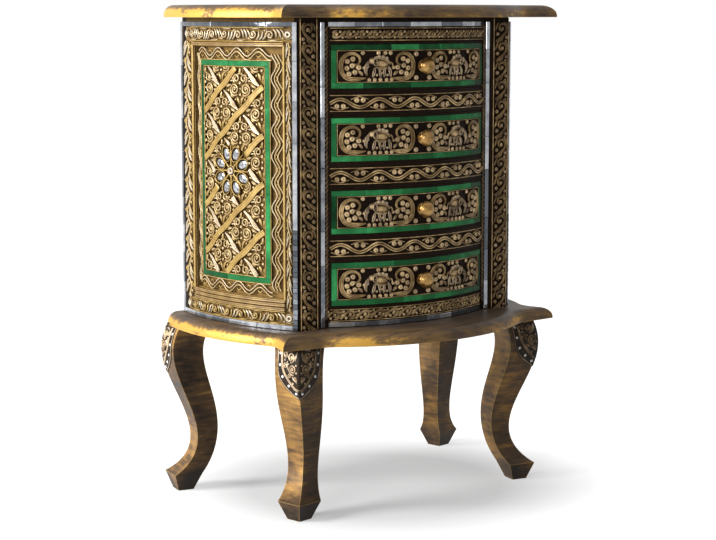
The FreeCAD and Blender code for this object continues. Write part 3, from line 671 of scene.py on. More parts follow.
def green_glass(name, painted_light_gain):
    """Emerald glass, its colours scaled by a factor that is a painted light: lighter on the dim drawer
    fronts, darker on the lit sides.
    """
    emerald = ((0.15, 0.034), (0.45, 0.105), (0.75, 0.18), (1.0, 0.38))
    stops = [(place, (0.14 * light * painted_light_gain, light * painted_light_gain, 0.32 * light * painted_light_gain)) for place, light in emerald]
    return clouded(
        name, "tone", (-0.15, 0.55), 0.75, 38, stops, (0.14, 0.34), 0.3, Specular_IOR_Level=0.06)


def speckled(name, scale, dark, light, roughness, grain=None, **sockets):
    """A plain finish with fine speckles, or turned rings where a grain is given."""
    finish = Finish(name, **sockets)
    speck = finish.noise(scale, 4)
    height = finish.noise(500, 3, 0.5, grain) if grain else speck
    return finish.done(finish.ramp(speck, dark, light), (speck, *roughness), (height, 0.0002, 0.4))


BROWN_BLACK = (0.006, 0.004, 0.003)
ANTIQUE_GOLD = (0.50, 0.33, 0.12)
TURNED = (1, 6, 1)
# Each gilt's fourth colour is its painted highlight on the crests, set much brighter on the front than on
# the side.
FRONT_GILT = gilt_relief(
    "front_gilt", BROWN_BLACK, (0.085, 0.050, 0.020), (0.34, 0.212, 0.080), (0.92, 0.66, 0.33),
    (0.52, 0.405, 0.29))
SIDE_GILT = gilt_relief(
    "side_gilt", (0.085, 0.048, 0.017), (0.20, 0.118, 0.034), (0.32, 0.205, 0.05), (0.42, 0.295, 0.105),
    (0.46, 0.395, 0.30))
FRONT_GROUND = lacquer(
    "front_ground", (0.003, 0.002, 0.0015), (0.014, 0.008, 0.005), (0.10, 0.06, 0.028), 0.62)
SIDE_GROUND = lacquer(
    "side_ground", (0.075, 0.043, 0.015), (0.185, 0.111, 0.036), (0.31, 0.197, 0.057), 0.55)
BOARD = gilt_board("gilt_board", (
    (0.2, (0.022, 0.014, 0.010)),
    (0.5, (0.085, 0.055, 0.034)),
    (0.8, (0.22, 0.13, 0.048)),
    (1.0, (0.56, 0.31, 0.058)),
))
LEG_WOOD = leg_wood("leg_wood", (
    (0.15, (0.016, 0.010, 0.006)),
    (0.45, (0.085, 0.048, 0.022)),
    (0.75, (0.34, 0.185, 0.055)),
    (1.0, (0.64, 0.38, 0.10)),
))
PLAIN_WOOD = plain_wood("plain_wood")
# Painted light: the same glass is lightened for the drawer fronts and darkened for the sides.
DRAWER_GREEN = green_glass("drawer_green_glass", 1.35)
SIDE_GREEN = green_glass("side_green_glass", 0.72)
MIRROR = clouded(
    "mirror_glass", "tone", (-0.15, 0.5), 0.6, 60,
    ((0.12, (0.05, 0.056, 0.066)), (0.5, (0.14, 0.152, 0.172)), (0.9, (0.62, 0.635, 0.66))),
    (0.03, 0.12), 0.25, Metallic=0.7)
PETAL_GLASS = clouded(
    "petal_glass", "crest", (-0.85, 0.0), 1.4, 190,
    ((0.1, (0.015, 0.012, 0.010)), (0.45, (0.13, 0.13, 0.135)), (0.9, (0.66, 0.67, 0.69))),
    (0.06, 0.2), 0.3, Metallic=1.0)
BRASS = speckled(
    "knob_brass", 120, (0.3, (0.14, 0.075, 0.022)), (0.68, (0.40, 0.235, 0.075)), (0.2, 0.34), TURNED,
    Metallic=0.8)
STEEL = speckled(
    "screw_steel", 120, (0.3, (0.25, 0.25, 0.26)), (0.68, (0.5, 0.5, 0.52)), (0.25, 0.45), TURNED,
    Metallic=0.9)
ENAMEL = speckled("stud_enamel", 500, (0.3, (0.74, 0.71, 0.65)), (0.6, (0.92, 0.90, 0.86)), (0.25, 0.45))
PLAQUE_LACQUER = speckled(
    "plaque_lacquer", 60, (0.3, BROWN_BLACK), (0.75, (0.045, 0.03, 0.018)), (0.4, 0.6),
    Specular_IOR_Level=0.12)


# Motifs, each a list of strokes
def stretched(points, along, up):
    """Points of a unit motif at the size of its band."""
    return [(place * along, level * up) for place, level in points]


def vine(length, swing, half_wave, berry, stem):
    """A running stem with a pair of cupped berries and a tendril in each bend."""
    middle = half_wave / 2
    level = swing - 0.35 * berry
    reach = 2.9 * berry
    unit = [bead((middle + side * (berry + 0.3), level), berry, 0.8 * berry) for side in SIDES]
    tendril = curve((middle - reach, level * 1.3), (middle, level * 2.2), (middle + reach, level * 1.3))
    unit.append(Rib(tendril, 0.3 * stem, 0.3 * stem))
    bends = repeated(unit, int(round(length / half_wave)), half_wave, (-1, 1))
    return [Rib(wave(length, swing, half_wave), stem, 0.6 * stem, GROOVED)] + bends


def border_lines(length, half_height):
    width, height = 1.8, 1.6
    return [
        Rib(evenly([(0, side * half_height), (length, side * half_height)]), width, height)
        for side in SIDES
    ]


def frame_lines(middle, reach, rise, width):
    """Four thin lines around a rectangle about a level."""
    strokes = []
    height = width + 0.15
    for side in SIDES:
        level, place = middle + side * rise, side * reach
        for ends in ([(-reach, level), (reach, level)], [(place, middle - rise), (place, middle + rise)]):
            strokes.append(Rib(evenly(ends, LONG_STEP), width, height))
    return strokes


C_SCROLL = (
    (0.62, 0.05), (0.48, 0.35), (0.28, 0.2), (0.26, -0.35),
    (0.46, -0.72), (0.72, -0.5), (0.95, 0.15), (1.14, 0.75),
)
C_BERRIES = ((0.49, -0.12, 0.12), (0.76, 0.55, 0.12), (0.93, -0.72, 0.105), (1.12, -0.6, 0.075))
C_LEAVES = (
    ((0.16, 0.3), (0.3, 0.62), (0.58, 0.82)),
    ((0.16, -0.3), (0.24, -0.72), (0.52, -0.94)),
    ((0.88, -0.3), (1.02, -0.12), (1.16, 0.2)),
)


def running_scroll(length, pitch, reach, tall=0.11):
    """A wave scroll: one curling C after another along a band."""
    scroll = curve(*stretched(C_SCROLL, pitch, reach))
    width = np.linspace(0.09 * pitch, 0.17 * pitch, len(scroll))
    unit = [Rib(scroll, width, tall * pitch, GROOVED)]
    for along, up, radius in C_BERRIES:
        unit.append(bead((along * pitch, up * reach), radius * pitch, tall * 0.85 * pitch))
    for points in C_LEAVES:
        unit.append(leaf(stretched(points, pitch, reach), 0.1 * pitch, tall * 0.8 * pitch, GROOVED, 0.1))
    return repeated(unit, int(round(length / pitch)), pitch)


def flame_scroll(length, pitch, reach):
    """A waving stem with a pale flame leaf, a golden one, a curl and a berry in each bend."""
    half = pitch / 2
    unit = []
    for lead, share, tone in ((0.0, 0.33, 0.95), (0.38, 0.27, 0.6)):
        points = stretched(((lead, 0.95), (lead + 0.3, 0.55), (lead + 0.75, 0.05)), half, reach)
        unit.append(leaf(points, share * reach + 1.0, 3.0, GROOVED, tone))
    curl = spiral((0.72 * half, -0.6 * reach), 0.34 * reach, 0.08 * reach, -90, -1.2)
    unit.append(Rib(curl, 0.1 * reach + 1.2, 2.0))
    unit.append(bead((0.22 * half, -0.62 * reach), 0.10 * reach + 1.0, 2.0))
    stem = Rib(wave(length, 0.42 * reach, half), 0.22 * reach + 1.4, 2.2, GROOVED, 0.3)
    return [stem] + repeated(unit, int(length / half), half, (-1, 1))


def acanthus(length, count, reach, pale):
    """Curling leaves that fill a band: a scroll, fanned leaves and berries, turned over in each pitch."""
    pitch = length / count
    eye = (0.24 * pitch, -0.08 * reach)
    unit = [
        Rib(spiral(eye, 0.7 * reach, 0.14 * reach, 200, -1.4), 0.26 * reach, 2.4, GROOVED, pale),
        bead(eye, 0.2 * reach, 2.6, 0.5),
        bead((0.96 * pitch, -0.6 * reach), 0.2 * reach, 2.2),
        bead((0.06 * pitch, 0.7 * reach), 0.16 * reach, 2.0),
    ]
    for start, middle, end, tone in ((0.42, 0.6, 0.6, pale), (0.6, 0.8, 0.86, 1.0), (0.8, 1.0, 1.08, 0.6)):
        points = stretched(((start, 0.9), (middle, 0.3), (end, -0.62)), pitch, reach)
        unit.append(leaf(points, 0.36 * reach, 3.0, GROOVED, tone))
    foot = stretched(((0.1, -0.86), (0.4, -0.94), (0.7, -0.84)), pitch, reach)
    unit.append(leaf(foot, 0.24 * reach, 2.2, ROUND, pale))
    return repeated(unit, count, pitch, (1, -1))


def rope(length, pitch, reach):
    """Slanting strokes like a twisted cord."""
    strand = leaf([(0, -reach), (0.45 * pitch, 0), (1.3 * pitch, reach)], 0.62 * pitch, 1.8)
    return repeated([strand], math.ceil(length / pitch - 1.3), pitch)


def wavy_lines(length, swing, half_wave, gap, count):
    """Wavy lines side by side, the last one paler, with a small arch in each bend."""
    half_band = gap * (count - 1) / 2
    strokes = []
    for index in range(count):
        path = wave(length, swing, half_wave) + (0, index * gap - half_band)
        strokes.append(Rib(path, 2.5, 2.2, ROUND, 0.6 if index == count - 1 else 0.3))
    middle = half_wave / 2
    foot = swing - half_band - 2.0
    arch = leaf([(middle - 5.0, foot), (middle, foot + 3.5), (middle + 5.0, foot)], 2.2, 1.8)
    return strokes + repeated([arch], int(length / half_wave), half_wave, (-1, 1))


def rosette(radius):
    """A small pale button with a dark eye and a rim."""
    rim = radius + 1.1
    return [bead((0, 0), radius, 3.2, 1.0, EYE), ring((0, 0), rim, rim, 1.3, 1.5, tone=0.5)]


def diamond_fill():
    """Paired scrolls, curls, leaves and berries that fill one diamond of the lattice."""
    half = [
        Rib(spiral((11.5, -3.0), 9.6, 2.6, 235, 1.8), 2.7, 2.8, GROOVED, 0.25),
        bead((11.5, -3.0), 2.0, 2.6, 0.4),
        Rib(spiral((7.8, 13.2), 6.8, 2.0, -60, 1.4), 2.5, 2.6, GROOVED, 0.3),
        leaf([(1.8, -25.0), (3.5, -18.5), (7.5, -14.0)], 4.2, 2.6, GROOVED, 0.1),
        leaf([(20.5, 4.0), (25.0, 2.6), (31.0, 0.0)], 4.4, 2.6, GROOVED, 0.3),
        leaf([(14.5, 9.5), (18.5, 9.8), (22.5, 8.2)], 3.2, 2.2, ROUND, 0.5),
        leaf([(21.5, -10.0), (19.0, -12.5), (14.0, -15.5)], 3.2, 2.2, ROUND, 0.1),
        bead((25.0, -4.5), 2.2, 2.0),
        bead((16.5, 13.8), 1.8, 1.8),
        bead((10.0, -18.0), 1.8, 1.8, 0.1),
        bead((3.2, 20.0), 1.7, 1.8),
    ]
    return half + mirrored(half) + [
        leaf([(0, 29.0), (0, 23.5), (0, 18.0)], 4.2, 2.6, GROOVED, 0.2),
        bead((0, 6.5), 2.8, 2.6, 0.4),
        bead((0, -2.0), 2.0, 2.0),
        bead((0, -10.5), 2.6, 2.4),
    ]


LATTICE_PITCH = 71.5
LATTICE_SPAN = 84
LATTICE_SLOPE = LATTICE_PITCH / LATTICE_SPAN
LATTICE_REACH = 110
LATTICE_ROWS = range(-4, 5)
BAND_WIDTH = 10.0
BAND_HEIGHT = 3.2
BAND_SWAY = 1.5
FEATHER_START = 6.0
FEATHER_STOP = 3.5
FEATHER_WIDTHS = (2.2, 8.6, 2.6)
FEATHER_HEIGHTS = (2.6, 4.4)
FEATHER_SWAY = 0.9


def lattice():
    """Ribbed bands one way, swelling pale leaves the other way, and filled diamonds between them."""
    strokes = []
    half_rise = LATTICE_PITCH / 2
    half_span = half_rise / LATTICE_SLOPE
    along = np.linspace(-LATTICE_REACH, LATTICE_REACH, LATTICE_REACH)
    sway = BAND_SWAY * np.sin(2 * math.pi * along / half_span)
    slant = np.array([1, -LATTICE_SLOPE])
    for row in LATTICE_ROWS:
        level = row * LATTICE_PITCH
        band = np.column_stack([along, level + along * LATTICE_SLOPE + sway])
        strokes.append(Rib(band, BAND_WIDTH, BAND_HEIGHT, RIBBED))
        for column in LATTICE_ROWS:
            crossing = np.array([half_span * (column + 0.5), level + half_rise * (column + 0.5)])
            strokes.extend(moved(diamond_fill(), crossing + (0, half_rise)))
            stop = half_span - FEATHER_STOP
            feather = evenly([crossing + slant * FEATHER_START, crossing + slant * stop])
            share = np.linspace(0, 1, len(feather))
            feather = feather + FEATHER_SWAY * np.sin(2 * math.pi * share)[:, None]
            width = np.interp(share, (0, 0.7, 1), FEATHER_WIDTHS)
            strokes.append(Rib(feather, width, np.linspace(*FEATHER_HEIGHTS, len(feather)), RIBBED, 0.8))
    return strokes


PETALS = 8
PETAL_RING = 27.0
PETAL_HALF = (10.8, 7.4)
FLOWER_REACH = 40.0


def flower_setting():
    """Sockets around the petals, spokes between them and the button in the middle."""
    spoke = curve((7.0, 0), (20.0, 0), (37.0, 0))
    spoke = Rib(spoke, np.linspace(3.6, 1.4, len(spoke)), 2.6)
    socket = ring((PETAL_RING, 0), PETAL_HALF[0] + 1.0, PETAL_HALF[1] + 1.0, 1.5, 3.4)
    strokes = [bead((0, 0), 6.0, 4.2, 1.0, EYE), ring((0, 0), 7.6, 7.6, 1.6, 2.4, tone=0.4)]
    for index in range(PETALS):
        turn = 360 * (index + 0.5) / PETALS
        strokes.extend(moved([socket], turn=turn))
        strokes.extend(moved([spoke], turn=turn + 180 / PETALS))
    return strokes


def flower_petals():
    petal = [Boss((PETAL_RING, 0), *PETAL_HALF, 2.9, rings=PILLOW)]
    return [moved(petal, turn=360 * (index + 0.5) / PETALS)[0] for index in range(PETALS)]


def big_c_scroll():
    """A large ribbed C, open to the right, with a curl above, a leaf below and berries inside."""
    c_line = curve(
        (22.5, 4.0), (26.5, 2.0), (31.5, 6.0), (31.0, 13.0), (24.0, 18.0), (14.0, 17.4), (6.5, 11.0),
        (3.8, 0.0), (6.5, -10.5), (13.5, -16.6), (23.0, -18.2), (33.0, -17.6), (41.0, -16.5),
    )
    width = np.interp(np.linspace(0, 1, len(c_line)), (0, 0.2, 0.5, 0.85, 1), (2.0, 4.0, 7.4, 7.2, 1.8))
    berries = (
        (13.4, 7.4), (21.4, 10.6), (12.6, -2.6), (20.4, 1.2), (15.8, -10.6), (24.4, -8.4), (30.2, -1.4),
    )
    foot = leaf([(29.5, -6.5), (33.5, -9.5), (36.5, -13.5)], 4.6, 3.2, GROOVED, 0.3)
    return [Rib(c_line, width, 4.0, RIBBED)] + beads(berries, 4.6, 4.0) + [foot]


def elephant():
    """A small traditional elephant in relief, facing left, made of ribbed strokes."""
    strokes = [
        Boss((20.0, 3.5), 12.0, 6.4, 3.2, -5),
        leaf([(4.0, 10.0), (13.0, 12.5), (25.0, 10.5), (34.0, 2.5)], 5.4, 4.6, RIBBED, 0.4),
        leaf([(10.0, -1.5), (20.0, -3.5), (30.0, -2.5)], 4.4, 3.6, RIBBED, 0.2),
        leaf([(10.0, 4.5), (20.0, 4.8), (30.0, 2.0)], 4.2, 4.2, GROOVED, 0.3),
        Boss((4.6, 7.6), 5.0, 5.4, 4.4, 10, 0.2),
        ring((9.6, 5.6), 3.2, 5.2, 1.8, 5.6, 15, 0.7),
        leaf([(2.0, 9.0), (-3.0, 2.5), (-5.0, -6.0), (-2.5, -13.0)], 5.8, 4.6, RIBBED, 0.6),
        leaf([(1.0, 1.5), (-1.5, -1.5), (-5.5, 0.0)], 2.4, 4.6, ROUND, 1.0),
        leaf([(33.0, 6.5), (37.0, 3.5), (37.5, -4.0)], 2.8, 3.0),
    ]
    for hip, knee, foot, widest in (
        ((10.0, -1.0), (8.0, -8.0), (6.0, -16.0), 5.6), ((16.0, -2.0), (17.0, -8.0), (18.5, -16.0), 4.8),
        ((25.0, -1.0), (24.0, -8.0), (24.0, -16.0), 4.8), ((31.0, 0.5), (33.0, -7.0), (34.5, -16.0), 5.6),
    ):
        strokes.append(leaf([hip, knee, foot], widest, 3.8, GROOVED, 0.7))
    saddle = beads(((15.5, 14.0), (21.5, 13.6), (27.0, 11.6)), 2.8, 5.4, 0.7)
    return strokes + saddle + beads(((12.5, -12.5), (29.0, -12.5), (21.3, -9.5)), 2.2, 3.0, 0.5)


FIELD_END = 135.0


def drawer_half_field():
    """The left half of a drawer's carving, from the field's left end to the knob."""
    strokes = moved(big_c_scroll(), (0.5, 0))
    strokes.extend(moved(elephant(), (46.0, 0)))
    strokes.extend(moved(mirrored(big_c_scroll()), (121.5, 0)))
    for places, level, radius, height, tone in (
        ((37.0, 61.0, 71.5, 80.0), 19.0, 3.6, 3.2, 0.3),
        ((46.5, 55.0, 64.0, 73.5, 82.0), -19.4, 3.4, 3.0, 0.3),
        ((39.0, 85.0), -2.0, 2.8, 2.8, 0.4),
        ((123.0,), -17.0, 4.4, 4.0, 0.5),
        ((123.0,), 17.0, 4.4, 4.0, 0.5),
    ):
        strokes.extend(beads([(place, level) for place in places], radius, height, tone))
    return strokes


# Pieces of the front
RAIL_END = 2.5
RAIL_BENDS = 10
RAIL_LINE = 11.6
RAIL_VINE = {"swing": 5.9, "berry": 4.6, "stem": 6.4}
SCROLL_MARGIN = 2.0
MIRROR_TILES = (24, 60)
LONG_MIRRORS = (40, 95)
# Tint ranges of the two upright front mirror strips: the left one lighter, a painted reflection.
STRIP_TINTS_AND_PAINTED_REFLECTION = {-1: (0.6, 1.0), 1: (0.1, 0.9)}


def front_rails():
    relief = Relief("front_rail_relief")
    reach = BOW_HALF - RAIL_END
    length = 2 * reach
    for node in ("upper_front_rail", "middle_front_rail", "lower_front_rail"):
        stem = vine(length, half_wave=length / RAIL_BENDS, **RAIL_VINE)
        middle = sum(levels(node)) / 2
        relief.lay(front_bow, moved(stem + border_lines(length, RAIL_LINE), (-reach, middle)))
    top = (levels("top_front_rail")[0], MIRROR_HEAD - MIRROR_WIDTH)
    bottom = (MIRROR_FOOT + MIRROR_WIDTH, levels("bottom_front_rail")[1])
    for band, pitch, rise, tall, turn in ((top, 20.5, 6.4, 0.09, 0), (bottom, 23.5, 7.6, 0.11, 180)):
        middle, half = middle_and_half(*band)
        start = reach if turn else -reach
        relief.lay(front_bow, moved(running_scroll(length, pitch, rise, tall), (start, middle), turn=turn))
        relief.lay(front_bow, moved(border_lines(length, half - SCROLL_MARGIN), (-reach, middle)))
    relief.build("carcass", "gilt_carving", FRONT_GILT)


def front_posts():
    relief = Relief("front_post_relief")
    post = flat_front(FACE)
    stile = flat_front(STILE_FACE)
    end_margin = 3
    length = LID - DECK - 2 * end_margin
    scrolls, scroll_reach, scroll_short, edge_line = 15, 14.0, 5, 14.6
    rope_pitch, rope_reach, rope_foot, rope_short = 7.0, 2.7, 12, 14
    middle = (POST_OUTER + POST_INNER) / 2
    rope_middle = OPENING_HALF + 3.5
    for sign in SIDES:
        down = dimmed(running_scroll(length - scroll_short, length / scrolls, scroll_reach), 0.82)
        relief.lay(post, moved(down, (sign * middle, LID - end_margin), turn=-90, flip=-sign))
        for side in SIDES:
            edge = sign * middle + side * edge_line
            relief.lay(post, [Rib(evenly([(edge, DECK + 1), (edge, LID - 1)], LONG_STEP), 2.0, 1.8)])
        twist = dimmed(rope(length - rope_short, rope_pitch, rope_reach), 0.6)
        relief.lay(stile, moved(twist, (sign * rope_middle, DECK + rope_foot), turn=90, flip=sign))
    relief.build("carcass", "gilt_carving", FRONT_GILT)


def front_mirrors():
    mosaic = Mosaic("front_mirror_tiles", 11)
    stile = flat_front(STILE_FACE)
    outer = POST_INNER - 3
    for low in (MIRROR_FOOT, MIRROR_HEAD - MIRROR_WIDTH):
        mosaic.strip(front_bow, (-BOW_HALF, low), (BOW_HALF, low + MIRROR_WIDTH), MIRROR_TILES)
    for sign, tints in STRIP_TINTS_AND_PAINTED_REFLECTION.items():
        edges = sorted((sign * outer, sign * (outer - MIRROR_WIDTH)))
        mosaic.strip(stile, (edges[0], MIRROR_FOOT), (edges[1], MIRROR_HEAD), LONG_MIRRORS, tints)
    mosaic.build("carcass", "mirror_glass", MIRROR, ("front_mirror_strips",))


# Pieces of the drawers
GREEN_SEEDS = {1: 44, 2: 25, 3: 33, 4: 53}
GREEN_TILES = (34, 70)
GREEN_END_TILES = (48, 49)
DRAWER_MARGIN = 3.0
CARVING_MARGIN = 1.6


def drawer_dressing(number):
    body = f"drawer_{number}"
    low, high = box(f"{body}_front")
    half = BOW_RADIUS * math.asin((high[0] - DRAWER_MARGIN) / BOW_RADIUS)
    bottom, top = low[2] + DRAWER_MARGIN, high[2] - DRAWER_MARGIN
    middle, rise = middle_and_half(bottom, top)
    inner = half - GREEN_WIDTH

    mosaic = Mosaic(f"{body}_green_tiles", GREEN_SEEDS[number])
    mosaic.border(front_bow, half, bottom, top, GREEN_TILES, GREEN_END_TILES)
    mosaic.build(body, "green_glass", DRAWER_GREEN, (f"{body}_green_border",))

    relief = Relief(f"{body}_relief")
    reach = inner - CARVING_MARGIN
    left = moved(drawer_half_field(), (-reach, 0), size=reach / FIELD_END)
    relief.lay(front_bow, moved(left + mirrored(left), (0, middle)))
    relief.lay(front_bow, frame_lines(middle, inner - 1.0, rise - GREEN_WIDTH - 1.0, 1.5))
    relief.build(body, "gilt_carving", FRONT_GILT)


# Pieces of the bowed sides
def from_corner(distance):
    """Place along a side, from its distance to the front corner."""
    return SIDE_MIDDLE - distance


def upright(strokes, place, foot):
    """Strokes of a band turned to stand on their start."""
    return moved(strokes, (place, foot), turn=90)


STILE_FRONT = (9.0, 17.6)
STILE_REAR = (225.5, 255.0)
ROLL_FRONT = 20.4
ROLL_REAR = 220.8
TOP_BAND = (PANEL_HEAD + 8.5, MIRROR_HEAD - MIRROR_WIDTH - 1.0)
BOTTOM_BAND = (MIRROR_FOOT + MIRROR_WIDTH + 1.0, PANEL_FOOT - 19.5)
LEVEL_ROLLS = (
    (PANEL_HEAD + 4.0, 6.4, 3.2), (PANEL_FOOT - 3.2, 5.6, 3.0), (PANEL_FOOT - 9.4, 5.6, 2.4),
    (PANEL_FOOT - 15.6, 5.6, 2.8),
)
ROSETTE = 5.4
ROSETTE_PLACES = (STILE_FRONT[0] + 4.6, STILE_REAR[0] + 14.0)
FLAME_PITCH = 46.0
BAND_LEAVES = 7
LINE_MARGIN = 0.9
LINE_WIDTH = 1.6
WAVE_FRONT = 36.5
WAVE_REAR = 208.5
WAVE_MARGIN = 10.0
LEVEL_WAVES = {"swing": 6.0, "half_wave": 21.5, "gap": 5.6, "count": 2}
FRONT_WAVES = {"swing": 4.4, "half_wave": 19.0, "gap": 5.4, "count": 3}
REAR_WAVES = {"swing": 2.4, "half_wave": 19.0, "gap": 4.0, "count": 2}


def side_frame(hand, sign):
    """Carving of the stiles and rails of one side."""
    relief = Relief(f"{hand}_side_relief")
    face = side_bow(sign, 0.0)
    low, high = BOTTOM_BAND[0] + 1, TOP_BAND[1] - 1
    for band in (STILE_FRONT, STILE_REAR):
        middle, reach = middle_and_half(*band)
        place = from_corner(middle)
        scroll = upright(flame_scroll(high - low, FLAME_PITCH, reach), place, low)
        corners = (place - reach, BOTTOM_BAND[1] + 1), (place + reach, TOP_BAND[0] - 1)
        relief.lay(face, inside(scroll, *corners))
    start, end = from_corner(STILE_REAR[0] + 2), from_corner(STILE_FRONT[1] + 3)
    for band, pale in ((TOP_BAND, 0.6), (BOTTOM_BAND, 0.1)):
        middle, reach = middle_and_half(*band)
        leaves = acanthus(end - start, BAND_LEAVES, reach - 1.0, pale)
        relief.lay(face, moved(leaves + border_lines(end - start, reach), (start, middle)))
        for distance in ROSETTE_PLACES:
            relief.lay(face, moved(rosette(ROSETTE), (from_corner(distance), middle)))
    for distance, width in ((ROLL_FRONT, 4.4), (ROLL_REAR, 6.6)):
        place = from_corner(distance)
        ends = [(place, PANEL_FOOT - 3), (place, PANEL_HEAD + 4)]
        relief.lay(face, [Rib(evenly(ends, LONG_STEP), width, 2.8)])
    for level, width, height in LEVEL_ROLLS:
        ends = [(from_corner(ROLL_REAR), level), (from_corner(ROLL_FRONT), level)]
        relief.lay(face, dimmed([Rib(evenly(ends), width, height, GROOVED, 0.15)], 0.64))
    relief.build("carcass", "gilt_carving", SIDE_GILT)


def side_field(hand, sign):
    """Carving of the recessed panel of one side: lattice, wave bands and the flower's setting."""
    relief = Relief(f"{hand}_side_field")
    panel = side_bow(sign, PANEL_RECESS)
    centre = (0.0, FIELD_HEIGHT)
    half, rise = FIELD_HALF - 1.5, FIELD_RISE - 1.5
    strokes = inside(moved(lattice(), centre), (-half, FIELD_HEIGHT - rise), (half, FIELD_HEIGHT + rise))
    relief.lay(panel, keep_clear(strokes, centre, FLOWER_REACH - 1.5))
    relief.lay(panel, moved(flower_setting(), centre))
    for reach in (-LINE_MARGIN, GREEN_WIDTH + LINE_MARGIN):
        relief.lay(panel, frame_lines(FIELD_HEIGHT, FIELD_HALF + reach, FIELD_RISE + reach, LINE_WIDTH))
    rise = FIELD_RISE + GREEN_WIDTH + WAVE_MARGIN
    front, rear = from_corner(WAVE_FRONT), from_corner(WAVE_REAR)
    foot, head = FIELD_HEIGHT - rise, FIELD_HEIGHT + rise
    level = wavy_lines(front - rear - 9, **LEVEL_WAVES)
    relief.lay(panel, moved(level, (rear, foot)) + moved(level, (rear, head)))
    relief.lay(panel, upright(wavy_lines(2 * rise, **FRONT_WAVES), front, foot))
    relief.lay(panel, upright(wavy_lines(2 * rise, **REAR_WAVES), rear, foot))
    relief.build("carcass", "gilt_carving", SIDE_GILT)


FRONT_STRIP = (7.75, 0.75)
REAR_STRIP = (269.0, 262.0)
SQUARES_RISE = 150
SQUARE_TILES = (7.2, 8.6)
LONG_SIDE_MIRRORS = (40, 90)
LEVEL_GREENS = (50, 90)
UPRIGHT_GREENS = (70, 140)


def side_mirrors(hand, sign):
    mosaic = Mosaic(f"{hand}_mirror_tiles", 31 + sign)
    face = side_bow(sign, 0.0)
    front = [from_corner(distance) for distance in FRONT_STRIP]
    rear = [from_corner(distance) for distance in REAR_STRIP]
    squares_to = DECK + SQUARES_RISE
    mosaic.strip(face, (front[0], MIRROR_FOOT), (front[1], squares_to), SQUARE_TILES, (0.0, 0.6))
    # The upper tiles of the front strip get the lightest tints, a painted reflection; the squares below get
    # darker ones.
    mosaic.strip(face, (front[0], squares_to), (front[1], MIRROR_HEAD), LONG_SIDE_MIRRORS, (0.75, 1.0))
    mosaic.strip(face, (rear[0], MIRROR_FOOT), (rear[1], MIRROR_HEAD), MIRROR_TILES)
    for low in (MIRROR_FOOT, MIRROR_HEAD - MIRROR_WIDTH):
        mosaic.strip(face, (rear[1], low), (front[0], low + MIRROR_WIDTH), MIRROR_TILES)
    mosaic.build("carcass", "mirror_glass", MIRROR, (f"{hand}_mirror_strips",))


def side_greens():
    mosaic = Mosaic("side_green_tiles", 41)
    half = FIELD_HALF + GREEN_WIDTH
    for sign in SIDES:
        panel = side_bow(sign, PANEL_RECESS)
        mosaic.border(panel, half, GREEN_FOOT, GREEN_HEAD, LEVEL_GREENS, UPRIGHT_GREENS)
    mosaic.build("carcass", "green_glass", SIDE_GREEN, ("side_green_borders",))


def side_flowers():
    relief = Relief("side_flower_petals")
    for sign in SIDES:
        relief.lay(side_bow(sign, PANEL_RECESS), moved(flower_petals(), (0.0, FIELD_HEIGHT)))
    relief.build("carcass", "mirror_glass", PETAL_GLASS, ("side_mirror_flowers",))


# Knee plaques, laid around the outer arris of each leg
KNEE_TURN = math.radians(55.5)
PLAQUE_HALF = 43.0
PLAQUE_CLEARANCE = 0.8
PLATE_HEIGHT = 1.0
PLATE_ROWS = 26
PLATE_COLUMNS = 21
LEG_SLICES = 24
ARRIS_WIDTH = 3
ARRIS_SKIN = 1.8
ARRIS_SLOPE = 0.4


def knee_surface(node, sign, outward):
    """The two outer faces of a leg about its arris, read from the frame's mesh by slicing it."""
    mesh = frame["nodes"][node].data
    points = np.array([vertex.co for vertex in mesh.vertices]) / MM
    pairs = np.array([edge.vertices[:] for edge in mesh.edges])
    corner = np.array([sign * math.cos(KNEE_TURN), outward * math.sin(KNEE_TURN)])
    beside = np.array([-corner[1], corner[0]])
    heights = np.linspace(PLAQUE_TIP - 3, PLAQUE_TOP - 0.5, LEG_SLICES)
    corners = []
    for height in heights:
        first, last = points[pairs[:, 0]], points[pairs[:, 1]]
        crossing = (first[:, 2] - height) * (last[:, 2] - height) < 0
        first, last = first[crossing], last[crossing]
        share = (height - first[:, 2]) / (last[:, 2] - first[:, 2])
        cut = (first + share[:, None] * (last - first))[:, :2]
        corners.append([cut[np.argmax(cut @ way)] for way in (corner, beside, -beside)])
    corners = np.array(corners)

    def at(index, up):
        return np.stack([np.interp(up, heights, corners[:, index, axis]) for axis in (0, 1)], -1)

    def surface(along, up, out):
        arris = at(0, up)
        ways = []
        for index in (1, 2):
            way = at(index, up) - arris
            ways.append(way / np.linalg.norm(way, axis=-1, keepdims=True))
        right = (along >= 0)[..., None]
        spot = arris + np.abs(along)[..., None] * np.where(right, ways[0], ways[1])
        normals = (-ways[1], -ways[0])
        share = np.clip(along / ARRIS_WIDTH + 0.5, 0, 1)[..., None]
        normal = normals[0] * share + normals[1] * (1 - share)
        normal = normal / np.linalg.norm(normal, axis=-1, keepdims=True)
        lean = np.sum(normal * np.where(right, normals[0], normals[1]), axis=-1, keepdims=True)
        low = np.minimum(out, ARRIS_SKIN + ARRIS_SLOPE * np.abs(along))
        flat = spot + normal * low[..., None] / lean
        return np.concatenate([flat, up[..., None]], axis=-1) * MM

    surface.hand = 1
    return surface


def plaque_outline(inset):
    """The shield's edge on one face from the arris up, moved in by an inset."""
    tip = PLAQUE_TIP + inset * 1.3
    return curve(
        (0.6, tip), (8.0, tip + 3.8), (25.0 - inset * 0.6, tip + 14.0), (38.5 - inset * 0.9, tip + 27.0),
        (PLAQUE_HALF - inset, tip + 41.0), (PLAQUE_HALF - inset, PLAQUE_TOP - PLAQUE_CLEARANCE),
    )


